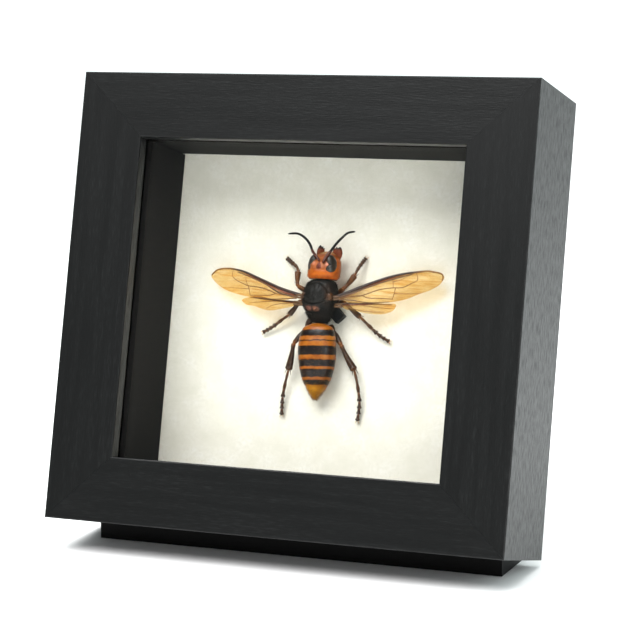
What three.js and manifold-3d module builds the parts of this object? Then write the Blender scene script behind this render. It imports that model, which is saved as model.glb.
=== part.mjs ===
// A mounted Asian giant hornet in a black wooden shadow-box case, life size, in millimetres.
//
// Three frames are nested. The world frame has +Z up and its origin under the middle of the
// whole model. The case frame has X to the right, Y from the front face (0) to the back, and Z
// up along the case with 0 at mid height; the case leans back on its bottom back edge. The
// card frame lies on the backing card: X to the right, Y towards the hornet's head and Z out
// of the card towards the viewer, so a height in it is a height above the card.

import * as THREE from 'three';
import { mergeVertices } from 'three/addons/utils/BufferGeometryUtils.js';
import Module from 'manifold-3d';

const wasm = await Module();
wasm.setup();

// ---------------------------------------------------------------- driving dimensions
const CASE = { width: 127, height: 120, depth: 35, side: 18.2, end: 17.4 };
const LEAN = THREE.MathUtils.degToRad(13.25); // the case leans back this far
const GAP = 0.3;          // clearance between pieces that are only laid against each other
const LIP = 3.9;          // depth of the front lip, ahead of the rabbet
const RABBET = 5;         // width of the rabbet behind the lip
const GLASS = 2;          // thickness of the pane
const REVEAL = 1.5;       // air between the pane and the spacer walls
const SPACER = 1.6;       // thickness of a spacer wall
const CARD_Y = 29.1;      // front face of the backing card
const CARD = 0.8;         // thickness of the backing card
const PANEL = 2.4;        // thickness of the back panel
const FOOT = { width: 114, front: 14, back: 16, slab: 1.2, lug: 3, lugHeight: 4.4 };
const LIFT = FOOT.slab + GAP;   // height of the bottom back edge above the floor

// ---------------------------------------------------------------- colours and finishes
const finish = (color, roughness, extra = {}) =>
  new THREE.MeshStandardMaterial({ color, roughness, metalness: 0, ...extra });
const LOOK = {
  wood: finish('#26282a', 0.55),
  glass: finish('#f4f8f8', 0.05, { transparent: true, opacity: 0.2 }),
  wall: finish('#23211f', 0.85),
  card: finish('#efece0', 0.9),
  panel: finish('#5a4632', 0.85),
  steel: finish('#8d8f91', 0.4, { metalness: 1 }),
  foot: finish('#151617', 0.7),
  foam: finish('#0b0b0c', 0.95),
  head: finish('#cc6a22', 0.35),
  eye: finish('#1d1710', 0.2),
  jaw: finish('#4a1710', 0.35),
  feeler: finish('#15110e', 0.4),
  thorax: finish('#25231f', 0.7),
  dark: finish('#2b1a14', 0.4),
  orange: finish('#cf7a26', 0.35),
  gold: finish('#c98c1e', 0.35),
  leg: finish('#33200f', 0.45),
  wing: finish('#c98a3a', 0.25, { transparent: true, opacity: 0.7 }),
};

// ---------------------------------------------------------------- groups
const world = new THREE.Group();
const leaning = new THREE.Group();
leaning.rotation.x = -LEAN;
world.add(leaning);
const caseGroup = new THREE.Group();
caseGroup.position.set(0, -CASE.depth, CASE.height / 2);
leaning.add(caseGroup);
const cardGroup = new THREE.Group();
cardGroup.rotation.x = Math.PI / 2;
cardGroup.position.y = CARD_Y;
caseGroup.add(cardGroup);

// The case's front bottom edge and its top back edge are the furthest out, so the origin
// under the middle of the whole model comes from these two.
const frontY = -CASE.depth * Math.cos(LEAN);
const backY = CASE.height * Math.sin(LEAN);
const SHIFT_Y = -(frontY + backY) / 2;
leaning.position.set(0, SHIFT_Y, LIFT);

function place(parent, name, geometry, material) {
  const mesh = new THREE.Mesh(geometry, material);
  mesh.name = name;
  parent.add(mesh);
  return mesh;
}

// ---------------------------------------------------------------- solids: cutting
function toManifold(geometry) {
  const bare = geometry.clone();
  bare.deleteAttribute('normal');
  bare.deleteAttribute('uv');
  const merged = mergeVertices(bare, 1e-4);
  return new wasm.Manifold(new wasm.Mesh({
    numProp: 3,
    vertProperties: new Float32Array(merged.attributes.position.array),
    triVerts: new Uint32Array(merged.index.array),
  }));
}

function toGeometry(manifold) {
  const mesh = manifold.getMesh();
  const geometry = new THREE.BufferGeometry();
  geometry.setAttribute('position', new THREE.BufferAttribute(mesh.vertProperties, 3));
  geometry.setIndex(new THREE.BufferAttribute(mesh.triVerts, 1));
  geometry.computeVertexNormals();
  return geometry;
}

// Removes from one solid all that the others take up, each already grown by its clearance.
function carve(geometry, ...cutters) {
  let solid = toManifold(geometry);
  for (const cutter of cutters) solid = solid.subtract(toManifold(cutter));
  return toGeometry(solid);
}

// ---------------------------------------------------------------- solids: shaping
// Skins a stack of closed rings, all with the same number of points, and closes both ends.
function skin(rings) {
  const count = rings[0].length;
  const position = rings.flat().flatMap((p) => [p.x, p.y, p.z]);
  const index = [];
  for (let r = 0; r + 1 < rings.length; r += 1) {
    for (let i = 0; i < count; i += 1) {
      const a = r * count + i;
      const b = r * count + ((i + 1) % count);
      index.push(a, b, b + count, a, b + count, a + count);
    }
  }
  const cap = (start, flip) => {
    const centre = new THREE.Vector3();
    for (let i = 0; i < count; i += 1) {
      centre.add(new THREE.Vector3().fromArray(position, (start + i) * 3));
    }
    centre.divideScalar(count);
    const hub = position.length / 3;
    position.push(centre.x, centre.y, centre.z);
    for (let i = 0; i < count; i += 1) {
      const a = start + i;
      const b = start + ((i + 1) % count);
      index.push(...(flip ? [hub, b, a] : [hub, a, b]));
    }
  };
  cap(0, true);
  cap((rings.length - 1) * count, false);
  const geometry = new THREE.BufferGeometry();
  geometry.setAttribute('position', new THREE.Float32BufferAttribute(position, 3));
  geometry.setIndex(index);
  if (toManifold(geometry).volume() < 0) geometry.setIndex(index.reverse());
  geometry.computeVertexNormals();
  return geometry;
}

// A body piece around the Y axis. Each station is [y, centre x, centre height, half width,
// half height above the centre, half height below it]; the stations are joined by a spline.
function bodyLoft(stations, { sides = 20, steps = 2, square = 2.2 } = {}) {
  const rings = [];
  const last = stations.length - 1;
  const pick = (k, column) => stations[Math.min(Math.max(k, 0), last)][column];
  const spline = (k, t, column) => {
    const [a, b, c, d] = [k - 1, k, k + 1, k + 2].map((j) => pick(j, column));
    return 0.5 * (2 * b + (c - a) * t + (2 * a - 5 * b + 4 * c - d) * t * t
      + (3 * b - a - 3 * c + d) * t * t * t);
  };
  for (let k = 0; k < last; k += 1) {
    for (let s = 0; s < steps || (k === last - 1 && s === steps); s += 1) {
      const [y, x, h, wide, up, down] = [0, 1, 2, 3, 4, 5].map((c) => spline(k, s / steps, c));
      const ring = [];
      for (let i = 0; i < sides; i += 1) {
        const turn = (i / sides) * 2 * Math.PI;
        const across = Math.sign(Math.cos(turn)) * Math.abs(Math.cos(turn)) ** (2 / square);
        const rise = Math.sign(Math.sin(turn)) * Math.abs(Math.sin(turn)) ** (2 / square);
        ring.push(new THREE.Vector3(x + wide * across, y, h + (rise > 0 ? up : down) * rise));
      }
      rings.push(ring);
    }
  }
  return skin(rings);
}

// A limb piece along a path. Each joint is [x, y, height, radius across, radius in height].
function limb(joints, { sides = 8, steps = 2 } = {}) {
  const path = new THREE.CatmullRomCurve3(
    joints.map(([x, y, h]) => new THREE.Vector3(x, y, h)), false, 'centripetal');
  const rings = [];
  const total = (joints.length - 1) * steps;
  for (let s = 0; s <= total; s += 1) {
    const t = s / total;
    const k = Math.min(Math.floor(s / steps), joints.length - 2);
    const mix = s / steps - k;
    const wide = THREE.MathUtils.lerp(joints[k][3], joints[k + 1][3], mix);
    const tall = THREE.MathUtils.lerp(joints[k][4], joints[k + 1][4], mix);
    const along = path.getTangent(t);
    const across = new THREE.Vector3(0, 0, 1).cross(along).normalize();
    const rise = along.clone().cross(across).normalize();
    const centre = path.getPoint(t);
    const ring = [];
    for (let i = 0; i < sides; i += 1) {
      const turn = ((i + 0.5) / sides) * 2 * Math.PI;
      ring.push(centre.clone()
        .addScaledVector(across, wide * Math.cos(turn))
        .addScaledVector(rise, tall * Math.sin(turn)));
    }
    rings.push(ring);
  }
  return skin(rings);
}

function ellipsoid([x, y, h], [rx, ry, rh], tilt = 0, turn = 0, grow = 0) {
  const geometry = new THREE.SphereGeometry(1, 16, 12);
  geometry.scale(rx + grow, ry + grow, rh + grow);
  geometry.rotateY(tilt);
  geometry.rotateZ(turn);
  geometry.translate(x, y, h);
  return geometry;
}

// ---------------------------------------------------------------- the case
const halfW = CASE.width / 2;
const halfH = CASE.height / 2;
const openW = halfW - CASE.side;    // half width of the sight opening
const openH = halfH - CASE.end;

// One moulding of the case: an L section, mitred at both ends. The section is drawn across
// the moulding, and the mitres come from cutting with two planes at the corners.
function moulding(long, acrossWidth, halfSpan) {
  const section = new THREE.Shape([
    new THREE.Vector2(0, 0), new THREE.Vector2(acrossWidth, 0),
    new THREE.Vector2(acrossWidth, LIP), new THREE.Vector2(acrossWidth - RABBET, LIP),
    new THREE.Vector2(acrossWidth - RABBET, CASE.depth), new THREE.Vector2(0, CASE.depth),
  ]);
  const points = section.getPoints();
  const otherWidth = long === 'x' ? CASE.side : CASE.end;
  const ring = (end) => points.map((p) => {
    const along = end * (halfSpan - otherWidth * (p.x / acrossWidth) - GAP / 4);
    return long === 'x'
      ? new THREE.Vector3(along, p.y, -halfH + p.x)
      : new THREE.Vector3(-halfW + p.x, p.y, along);
  });
  return prism(ring(-1), ring(1));
}

// A prism between two like rings of corners, whose end faces may be concave.
function prism(start, end) {
  const count = start.length;
  const flat = start.map((p) => {
    const q = end[0].clone().sub(start[0]);
    return Math.abs(q.x) > Math.abs(q.z)
      ? new THREE.Vector2(p.z, p.y) : new THREE.Vector2(p.x, p.y);
  });
  const faces = THREE.ShapeUtils.triangulateShape(flat, []);
  const position = [...start, ...end].flatMap((p) => [p.x, p.y, p.z]);
  const index = [];
  for (let i = 0; i < count; i += 1) {
    const j = (i + 1) % count;
    index.push(i, j, j + count, i, j + count, i + count);
  }
  const outward = !THREE.ShapeUtils.isClockWise(flat);
  for (const [a, b, c] of faces) {
    index.push(...(outward ? [a, c, b] : [a, b, c]));
    index.push(...(outward ? [a + count, b + count, c + count] : [a + count, c + count, b + count]));
  }
  const geometry = new THREE.BufferGeometry();
  geometry.setAttribute('position', new THREE.Float32BufferAttribute(position, 3));
  geometry.setIndex(index);
  if (toManifold(geometry).volume() < 0) geometry.setIndex(index.reverse());
  geometry.computeVertexNormals();
  return geometry;
}

const box = (w, d, h) => new THREE.BoxGeometry(w, d, h);

const bottomRail = moulding('x', CASE.end, halfW);
const leftRail = moulding('z', CASE.side, halfH);
place(caseGroup, 'rail_bottom', bottomRail, LOOK.wood);
place(caseGroup, 'rail_top', bottomRail, LOOK.wood).rotation.y = Math.PI;
place(caseGroup, 'rail_left', leftRail, LOOK.wood);
place(caseGroup, 'rail_right', leftRail, LOOK.wood).rotation.y = Math.PI;

const rabbetW = openW + RABBET;     // half width of the space behind the lip
const rabbetH = openH + RABBET;
place(caseGroup, 'glass_pane', box(2 * (rabbetW - GAP), GLASS, 2 * (rabbetH - GAP)), LOOK.glass)
  .position.y = LIP + GAP + GLASS / 2;

const wallFront = LIP + GAP + GLASS + REVEAL;
const wallDepth = CARD_Y - GAP - wallFront;
const wallY = wallFront + wallDepth / 2;
for (const side of [-1, 1]) {
  place(caseGroup, side < 0 ? 'wall_left' : 'wall_right',
    box(SPACER, wallDepth, 2 * openH), LOOK.wall)
    .position.set(side * (openW + SPACER / 2), wallY, 0);
  place(caseGroup, side < 0 ? 'wall_bottom' : 'wall_top',
    box(2 * (openW + SPACER), wallDepth, SPACER), LOOK.wall)
    .position.set(0, wallY, side * (openH + GAP + SPACER / 2));
}

place(caseGroup, 'backing_card', box(2 * (rabbetW - GAP), CARD, 2 * (rabbetH - GAP)), LOOK.card)
  .position.y = CARD_Y + CARD / 2;
const panelY = CARD_Y + CARD + GAP + PANEL / 2;
place(caseGroup, 'back_panel', box(2 * (rabbetW - GAP), PANEL, 2 * (rabbetH - GAP)), LOOK.panel)
  .position.y = panelY;

// Four steel turn tabs hold the back panel in its rabbet. Each is a rounded strip on a rivet.
const TAB = { long: 13, wide: 5, thick: 0.8 };
function turnTab() {
  const shape = new THREE.Shape();
  const half = TAB.long / 2 - TAB.wide / 2;
  shape.absarc(half, 0, TAB.wide / 2, -Math.PI / 2, Math.PI / 2);
  shape.absarc(-half, 0, TAB.wide / 2, Math.PI / 2, (3 * Math.PI) / 2);
  const plate = new THREE.ExtrudeGeometry(shape,
    { depth: TAB.thick, bevelEnabled: false, curveSegments: 6 });
  const rivet = new THREE.CylinderGeometry(1.4, 1.6, 0.7, 16);
  rivet.rotateX(Math.PI / 2);
  rivet.translate(-half, 0, TAB.thick + 0.3);
  const whole = toGeometry(toManifold(plate).add(toManifold(rivet)));
  whole.rotateX(-Math.PI / 2);
  return whole;
}
const tabY = CASE.depth + GAP;
const tabs = [
  ['turn_tab_left', -(rabbetW + 3.6), 0, 0], ['turn_tab_right', rabbetW + 3.6, 0, Math.PI],
  ['turn_tab_top', 0, rabbetH - 1.6, Math.PI / 2], ['turn_tab_bottom', 0, 1.6 - rabbetH, -Math.PI / 2],
];
for (const [name, x, z, turn] of tabs) {
  const tab = place(caseGroup, name, turnTab(), LOOK.steel);
  tab.rotation.y = turn;
  tab.position.set(x, tabY, z);
}

// ---------------------------------------------------------------- the low foot
// The case leans back on its bottom back edge, with its weight just ahead of that edge. A low
// black wedge fills the space under it, and a thin slab runs back to a small lug behind it.
const slope = Math.tan(LEAN);
const rest = LIFT - GAP / Math.cos(LEAN);
const lugTop = LIFT + FOOT.lugHeight;
const behind = (z) => (z - LIFT) * slope + GAP / Math.cos(LEAN);
const footShape = new THREE.Shape([
  new THREE.Vector2(-FOOT.front, 0), new THREE.Vector2(FOOT.back, 0),
  new THREE.Vector2(FOOT.back, FOOT.slab),
  new THREE.Vector2(behind(rest) + FOOT.lug + 1.5, FOOT.slab),
  new THREE.Vector2(behind(lugTop) + FOOT.lug - 0.6, lugTop),
  new THREE.Vector2(behind(lugTop), lugTop),
  new THREE.Vector2(behind(rest), rest),
  new THREE.Vector2(0, rest),
  new THREE.Vector2(-FOOT.front, rest + FOOT.front * slope),
]);
const footGeometry = new THREE.ExtrudeGeometry(footShape,
  { depth: FOOT.width, bevelEnabled: false });
footGeometry.rotateX(Math.PI / 2);
footGeometry.rotateZ(Math.PI / 2);
footGeometry.translate(-FOOT.width / 2, SHIFT_Y, 0);
place(world, 'stand_foot', footGeometry, LOOK.foot);

// ---------------------------------------------------------------- the block behind the hornet
const BLOCK = { wide: 3, long: 5.5, height: 2.2, x: 3.35, y: 0.95 };
const block = place(cardGroup, 'mount_block',
  box(BLOCK.wide, BLOCK.long, BLOCK.height), LOOK.foam);
block.rotation.z = Math.PI / 4;
block.position.set(BLOCK.x, BLOCK.y, GAP + BLOCK.height / 2);

// ---------------------------------------------------------------- the trunk
const TRUNK = [
  [8.95, 1.05, 6.1, 2.5, 1.9, 1.9],
  [8.4, 1.0, 6.15, 3.35, 2.6, 2.5],
  [7.2, 0.8, 6.1, 4.1, 3.2, 2.9],
  [5.4, 0.55, 6.1, 4.6, 3.55, 3.2],
  [3.4, 0.5, 6.1, 4.6, 3.65, 3.3],
  [1.8, 0.5, 6.0, 4.3, 3.4, 3.2],
  [0.4, 0.5, 5.9, 3.75, 2.9, 3.0],
  [-1.0, 0.55, 5.8, 3.0, 2.2, 2.6],
  [-2.3, 0.6, 5.6, 1.9, 1.2, 1.5],
];
const trunk = bodyLoft(TRUNK);
// The same outline grown on every side, to cut neighbours back to a clearance.
const grow = (stations, by) => stations.map(([y, x, h, wide, up, down], i) => {
  const end = i === 0 ? by : (i === stations.length - 1 ? -by : 0);
  return [y + end * (stations[0][0] > stations.at(-1)[0] ? 1 : -1), x, h,
    wide + by, up + by, down + by];
});

// A short round rod along Y, for the neck, the waist and the holes that take them.
const rod = (x, y, h, radius, length) => {
  const geometry = new THREE.CylinderGeometry(radius, radius, length, 12);
  geometry.translate(x, y, h);
  return geometry;
};
const NECK = [1.0, 9.1, 6.1];
const WAIST = [0.62, -2.62, 5.7];
const FIT = 0.15;       // clearance all round the neck and the waist
place(cardGroup, 'neck', rod(...NECK, 1.2, 1.6), LOOK.thorax);
place(cardGroup, 'waist', rod(...WAIST, 0.7, 1.4), LOOK.thorax);
const neckHole = rod(...NECK, 1.2 + FIT, 1.6 + 2 * FIT);
const waistHole = rod(...WAIST, 0.7 + FIT, 1.4 + 2 * FIT);

const slice = (y) => {
  const thin = box(40, 0.25, 40);
  thin.translate(0, y, 0);
  return thin;
};
const trunkPieces = toManifold(carve(trunk, slice(7.1), slice(0.35), neckHole, waistHole))
  .decompose()
  .sort((a, b) => b.boundingBox().max[1] - a.boundingBox().max[1]);
['thorax_front', 'thorax_middle', 'thorax_rear'].forEach((name, i) => {
  place(cardGroup, name, toGeometry(trunkPieces[i]), LOOK.thorax);
});

// ---------------------------------------------------------------- the head
// The head is rolled a little to the left, so the right eye sits higher than the left one.
const EYE = { radii: [1.65, 2.55, 1.2], turn: 0.1 };
const eyes = {
  eye_left: { at: [-1.5, 12.7, 7.25], side: -1, tilt: 0.9 },
  eye_right: { at: [3.35, 12.8, 7.85], side: 1, tilt: 0.62 },
};
const eyeSolid = ({ at, side, tilt }, clearance) =>
  ellipsoid(at, EYE.radii, side * tilt, side * EYE.turn, clearance);
const HEAD = [
  [9.3, 0.95, 6.0, 3.4, 2.5, 2.5],
  [9.7, 1.0, 6.0, 4.05, 3.0, 2.9],
  [10.9, 1.1, 6.0, 4.4, 3.35, 3.1],
  [12.4, 1.15, 5.9, 4.4, 3.35, 3.1],
  [13.9, 1.2, 5.6, 4.15, 3.2, 2.9],
  [15.2, 1.2, 5.2, 3.45, 2.7, 2.5],
  [16.3, 1.2, 4.8, 2.6, 2.0, 1.8],
  [17.2, 1.2, 4.4, 1.6, 1.2, 1.0],
];
const headLoft = bodyLoft(HEAD, { sides: 24 });
const headCutters = Object.values(eyes).map((eye) => eyeSolid(eye, 0.15));

// A mandible is a broad curved blade with three teeth on its inner edge.
function mandible({ wide, long, side }) {
  const shape = new THREE.Shape();
  shape.moveTo(-wide / 2, 0);
  shape.bezierCurveTo(-wide * 0.62, long * 0.4, -wide * 0.5, long * 0.8, -wide * 0.12, long);
  shape.lineTo(wide * 0.1, long * 0.86);
  shape.lineTo(wide * 0.24, long * 0.93);
  shape.lineTo(wide * 0.3, long * 0.76);
  shape.lineTo(wide * 0.48, long * 0.8);
  shape.lineTo(wide * 0.46, long * 0.35);
  shape.lineTo(wide * 0.4, 0);
  const blade = new THREE.ExtrudeGeometry(shape,
    { depth: 1.1, bevelEnabled: true, bevelSize: 0.16, bevelThickness: 0.16, bevelSegments: 1,
      curveSegments: 6 });
  blade.translate(0, 0, -0.55);
  if (side > 0) blade.scale(-1, 1, 1);
  const index = Array.from(blade.attributes.position.array);
  if (side > 0) {
    // A mirrored solid needs its triangles turned round, so that they still face outwards.
    for (let t = 0; t < index.length; t += 9) {
      for (let c = 0; c < 3; c += 1) {
        [index[t + 3 + c], index[t + 6 + c]] = [index[t + 6 + c], index[t + 3 + c]];
      }
    }
    blade.setAttribute('position', new THREE.Float32BufferAttribute(index, 3));
  }
  return blade;
}
const jawLeft = mandible({ wide: 1.8, long: 3.3, side: -1 });
jawLeft.rotateY(0.7);
jawLeft.rotateZ(-0.02);
jawLeft.translate(-0.75, 15.05, 4.35);
const jawRight = mandible({ wide: 2.5, long: 3.3, side: 1 });
jawRight.rotateY(-0.25);
jawRight.rotateZ(-0.22);
jawRight.translate(3.5, 14.9, 4.55);

place(cardGroup, 'head', carve(headLoft, ...headCutters, neckHole), LOOK.head);
for (const [name, eye] of Object.entries(eyes)) {
  place(cardGroup, name, eyeSolid(eye, 0), LOOK.eye);
}
// The jaws hinge at the lower corners of the face, so each is cut back to the head's outside.
const headOutside = bodyLoft(grow(HEAD, 0.2), { sides: 24 });
const largest = (geometry) => {
  const pieces = toManifold(geometry).decompose();
  pieces.sort((a, b) => b.volume() - a.volume());
  return toGeometry(pieces[0]);
};
place(cardGroup, 'mandible_left',
  largest(carve(jawLeft, headOutside, ...headCutters)), LOOK.jaw);
place(cardGroup, 'mandible_right',
  largest(carve(jawRight, headOutside, ...headCutters)), LOOK.jaw);

// ---------------------------------------------------------------- the feelers
// Each is a short thick scape, a bend, and a long flagellum that curls outwards.
const feeler = (points) => limb(points.map(([x, y, h, r]) => [x, y, h, r, r]), { steps: 3 });
const feelerLeft = feeler([
  [0.6, 13.9, 9.2, 0.3], [-0.5, 15.1, 9.0, 0.34], [-1.75, 16.3, 8.4, 0.3],
  [-2.9, 18.1, 7.7, 0.28], [-4.6, 20.2, 6.9, 0.29], [-7.3, 21.5, 6.1, 0.29],
  [-10.4, 21.6, 5.2, 0.25],
]);
const feelerRight = feeler([
  [1.75, 13.4, 9.35, 0.3], [2.6, 15.1, 9.0, 0.34], [3.55, 16.9, 8.4, 0.3],
  [4.3, 18.5, 7.8, 0.28], [5.5, 20.4, 7.1, 0.29], [7.1, 21.9, 6.3, 0.29],
  [8.7, 22.4, 5.6, 0.25],
]);
place(cardGroup, 'antenna_left', largest(carve(feelerLeft, headOutside, ...headCutters)), LOOK.feeler);
place(cardGroup, 'antenna_right', largest(carve(feelerRight, headOutside, ...headCutters)), LOOK.feeler);

// ---------------------------------------------------------------- the abdomen
// One outline for the whole abdomen, parted into its six plates by thin cuts. Each plate
// stands a little proud of the next, so the hoops overlap like a telescope.
const PLATE_ENDS = [-2.95, -8.75, -12.35, -15.1, -17.8, -20.2, -23.0];
const ABDOMEN = [
  [-2.95, 0.65, 5.9, 2.3, 1.7, 1.3],
  [-3.5, 0.68, 6.0, 3.8, 2.6, 2.2],
  [-4.6, 0.72, 6.0, 4.55, 3.0, 2.6],
  [-6.6, 0.78, 5.9, 5.0, 3.25, 2.7],
  [-8.8, 0.82, 5.8, 5.25, 3.45, 2.9],
  [-12.4, 0.98, 5.5, 5.1, 3.4, 3.0],
  [-15.1, 1.0, 5.1, 4.65, 3.2, 2.8],
  [-17.8, 0.95, 4.6, 3.8, 2.8, 2.4],
  [-20.2, 0.8, 4.1, 2.4, 1.9, 1.7],
  [-21.9, 0.6, 3.7, 1.15, 1.0, 0.9],
  [-22.9, 0.5, 3.4, 0.35, 0.3, 0.3],
];
const abdomen = bodyLoft(ABDOMEN);
let plates = toManifold(carve(abdomen, waistHole));
for (const y of PLATE_ENDS.slice(1, -1)) plates = plates.subtract(toManifold(slice(y)));
plates.decompose()
  .sort((a, b) => b.boundingBox().max[1] - a.boundingBox().max[1])
  .forEach((plate, i) => {
    place(cardGroup, `abdomen_${i + 1}`, toGeometry(plate), i < 5 ? LOOK.orange : LOOK.gold);
  });

// ---------------------------------------------------------------- the legs
// Every leg is a haunch (coxa to knee), a shin that widens to its spurred end, and a foot of
// five small segments that ends in a pair of claws. Places are [x, y, height above the card].
const LEGS = {
  fore_left: { hip: [-1.6, 6.6, 2.6], bend: [-3.9, 5.6, 2.9], knee: [-6.9, 7.3, 4.2],
    ankle: [-7.5, 11.2, 3.3], foot: [[-8.3, 12.6, 2.6], [-9.9, 13.6, 1.8], [-11.9, 14.9, 0.95]],
    haunch: 0.75, shin: 0.62 },
  fore_right: { hip: [2.6, 6.6, 2.6], bend: [4.3, 5.9, 2.9], knee: [6.5, 7.3, 4.2],
    ankle: [8.9, 10.9, 3.4], foot: [[9.2, 12.3, 2.9], [9.8, 13.9, 2.1], [10.7, 15.9, 0.95]],
    haunch: 0.75, shin: 0.62 },
  middle_left: { hip: [-2.3, 3.0, 2.5], bend: [-3.5, 3.2, 2.7], knee: [-5.9, 3.4, 4.0],
    ankle: [-9.0, -0.5, 3.2], foot: [[-11.0, -1.7, 2.5], [-14.2, -3.9, 1.6], [-17.1, -5.5, 0.95]],
    haunch: 0.75, shin: 0.66 },
  middle_right: { hip: [3.9, 3.7, 2.6], bend: [5.0, 3.6, 2.8], knee: [7.3, 3.2, 4.2],
    ankle: [11.3, -0.1, 3.3], foot: [[13.6, -2.1, 2.6], [16.6, -4.6, 1.6], [19.2, -6.0, 0.95]],
    haunch: 0.75, shin: 0.66 },
  hind_left: { hip: [-2.9, -1.6, 3.1], bend: [-4.2, -4.4, 2.6], knee: [-6.9, -8.2, 3.6],
    ankle: [-7.95, -15.4, 3.1], foot: [[-8.9, -19.1, 2.3], [-9.6, -23.4, 1.5], [-9.7, -27.4, 0.95]],
    haunch: 0.8, shin: 0.82 },
  hind_right: { hip: [2.9, -2.9, 2.9], bend: [4.2, -4.6, 2.5], knee: [6.7, -7.9, 3.6],
    ankle: [10.9, -14.4, 3.1], foot: [[11.8, -18.2, 2.3], [12.5, -23.2, 1.5], [12.1, -27.6, 0.95]],
    haunch: 0.8, shin: 0.82 },
};
const grownTrunk = bodyLoft(grow(TRUNK, 0.25));
const grownAbdomen = bodyLoft(grow(ABDOMEN, 0.2));

const between = (a, b, t) => a.map((v, i) => v + (b[i] - v) * t);
const short = (a, b, gap) => {
  const length = Math.hypot(...a.map((v, i) => v - b[i]));
  return between(b, a, gap / length);   // the point that far short of b, coming from a
};
for (const [name, leg] of Object.entries(LEGS)) {
  const { hip, bend, knee, ankle, foot, haunch, shin } = leg;
  const haunchSolid = limb([
    [...hip, haunch * 0.9, haunch * 0.8],
    [...bend, haunch, haunch * 0.85],
    [...between(bend, knee, 0.55), haunch * 0.9, haunch * 0.8],
    [...short(bend, knee, 0.1), haunch * 0.6, haunch * 0.6],
  ]);
  place(cardGroup, `leg_${name}_haunch`,
    largest(carve(haunchSolid, grownTrunk, grownAbdomen)), LOOK.leg);
  place(cardGroup, `leg_${name}_shin`, limb([
    [...short(ankle, knee, 0.35 + haunch * 0.45), shin * 0.55, shin * 0.5],
    [...between(knee, ankle, 0.5), shin * 0.85, shin * 0.75],
    [...between(knee, ankle, 0.85), shin, shin * 0.8],
    [...short(knee, ankle, 0.15), shin * 0.7, shin * 0.6],
  ]), LOOK.leg);
  place(cardGroup, `leg_${name}_foot`, limb([
    [...short(foot[0], ankle, 0.2), 0.32, 0.32],
    [...between(ankle, foot[0], 0.6), 0.3, 0.3],
    [...foot[0], 0.38, 0.34],
    [...foot[1], 0.45, 0.36],
    [...foot[2], 0.5, 0.4],
  ]), LOOK.leg);
}

// ---------------------------------------------------------------- the wings
// Each wing is a thin plate with the real outline. It slopes down from its root, so its tip
// is closer to the card. The outline is drawn flat, then every point drops with distance.
const WING = 0.5;
function wing({ outline, rootX, rootH, drop }) {
  const curve = new THREE.CatmullRomCurve3(
    outline.map(([x, y]) => new THREE.Vector3(x, y, 0)), true, 'centripetal');
  const shape = new THREE.Shape(curve.getPoints(56).slice(0, -1)
    .map((p) => new THREE.Vector2(p.x, p.y)));
  const geometry = new THREE.ExtrudeGeometry(shape, { depth: WING, bevelEnabled: false });
  const position = geometry.attributes.position;
  for (let i = 0; i < position.count; i += 1) {
    const out = Math.abs(position.getX(i) - rootX);
    position.setZ(i, position.getZ(i) + rootH - WING / 2 - out * drop);
  }
  return geometry;
}
const WINGS = {
  wing_fore_left: { rootX: -4.9, rootH: 7.5, drop: 0.138, outline: [
    [-5.0, 4.5], [-10.1, 6.2], [-18.1, 9.0], [-24.0, 10.9], [-28.7, 11.2], [-31.5, 10.5],
    [-32.7, 9.1], [-30.9, 7.0], [-28.1, 5.4], [-24.1, 4.2], [-20.6, 3.6], [-13.0, 3.0],
    [-7.0, 3.5]] },
  wing_hind_left: { rootX: -5.6, rootH: 6.3, drop: 0.153, outline: [
    [-6.0, 2.7], [-12.0, 3.1], [-20.6, 3.7], [-23.0, 2.6], [-22.0, 1.8], [-19.0, 1.2],
    [-14.3, 0.2], [-10.0, 0.9], [-6.3, 2.1]] },
  wing_fore_right: { rootX: 5.9, rootH: 7.5, drop: 0.138, outline: [
    [5.7, 4.5], [8.1, 5.8], [14.3, 8.8], [20.7, 11.3], [26.2, 12.5], [29.5, 13.0],
    [32.4, 12.6], [34.0, 11.6], [33.4, 10.1], [30.9, 8.1], [27.7, 6.7], [24.6, 5.2],
    [22.0, 4.4], [14.0, 3.4], [7.6, 3.6]] },
  wing_hind_right: { rootX: 6.2, rootH: 6.3, drop: 0.153, outline: [
    [6.4, 2.7], [12.0, 3.2], [18.0, 3.7], [21.4, 3.4], [20.9, 2.2], [19.2, 1.2],
    [15.5, 0.7], [11.5, 1.1], [7.0, 2.1]] },
};
for (const [name, spec] of Object.entries(WINGS)) {
  place(cardGroup, name, wing(spec), LOOK.wing);
}

export default world;
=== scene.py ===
# %% [markdown]
# # A mounted Asian giant hornet in its black case
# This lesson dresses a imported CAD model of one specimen: a hornet with spread wings, fixed on an
# ivory card behind glass, in a deep black wooden case that leans back on a low foot.
# The CAD model gives every place and size. Here each plain solid gets its sculpted shell, its
# joints, veins and hairs, and a finish that is worked out from what the real thing is made of.

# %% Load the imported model
import math

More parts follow.
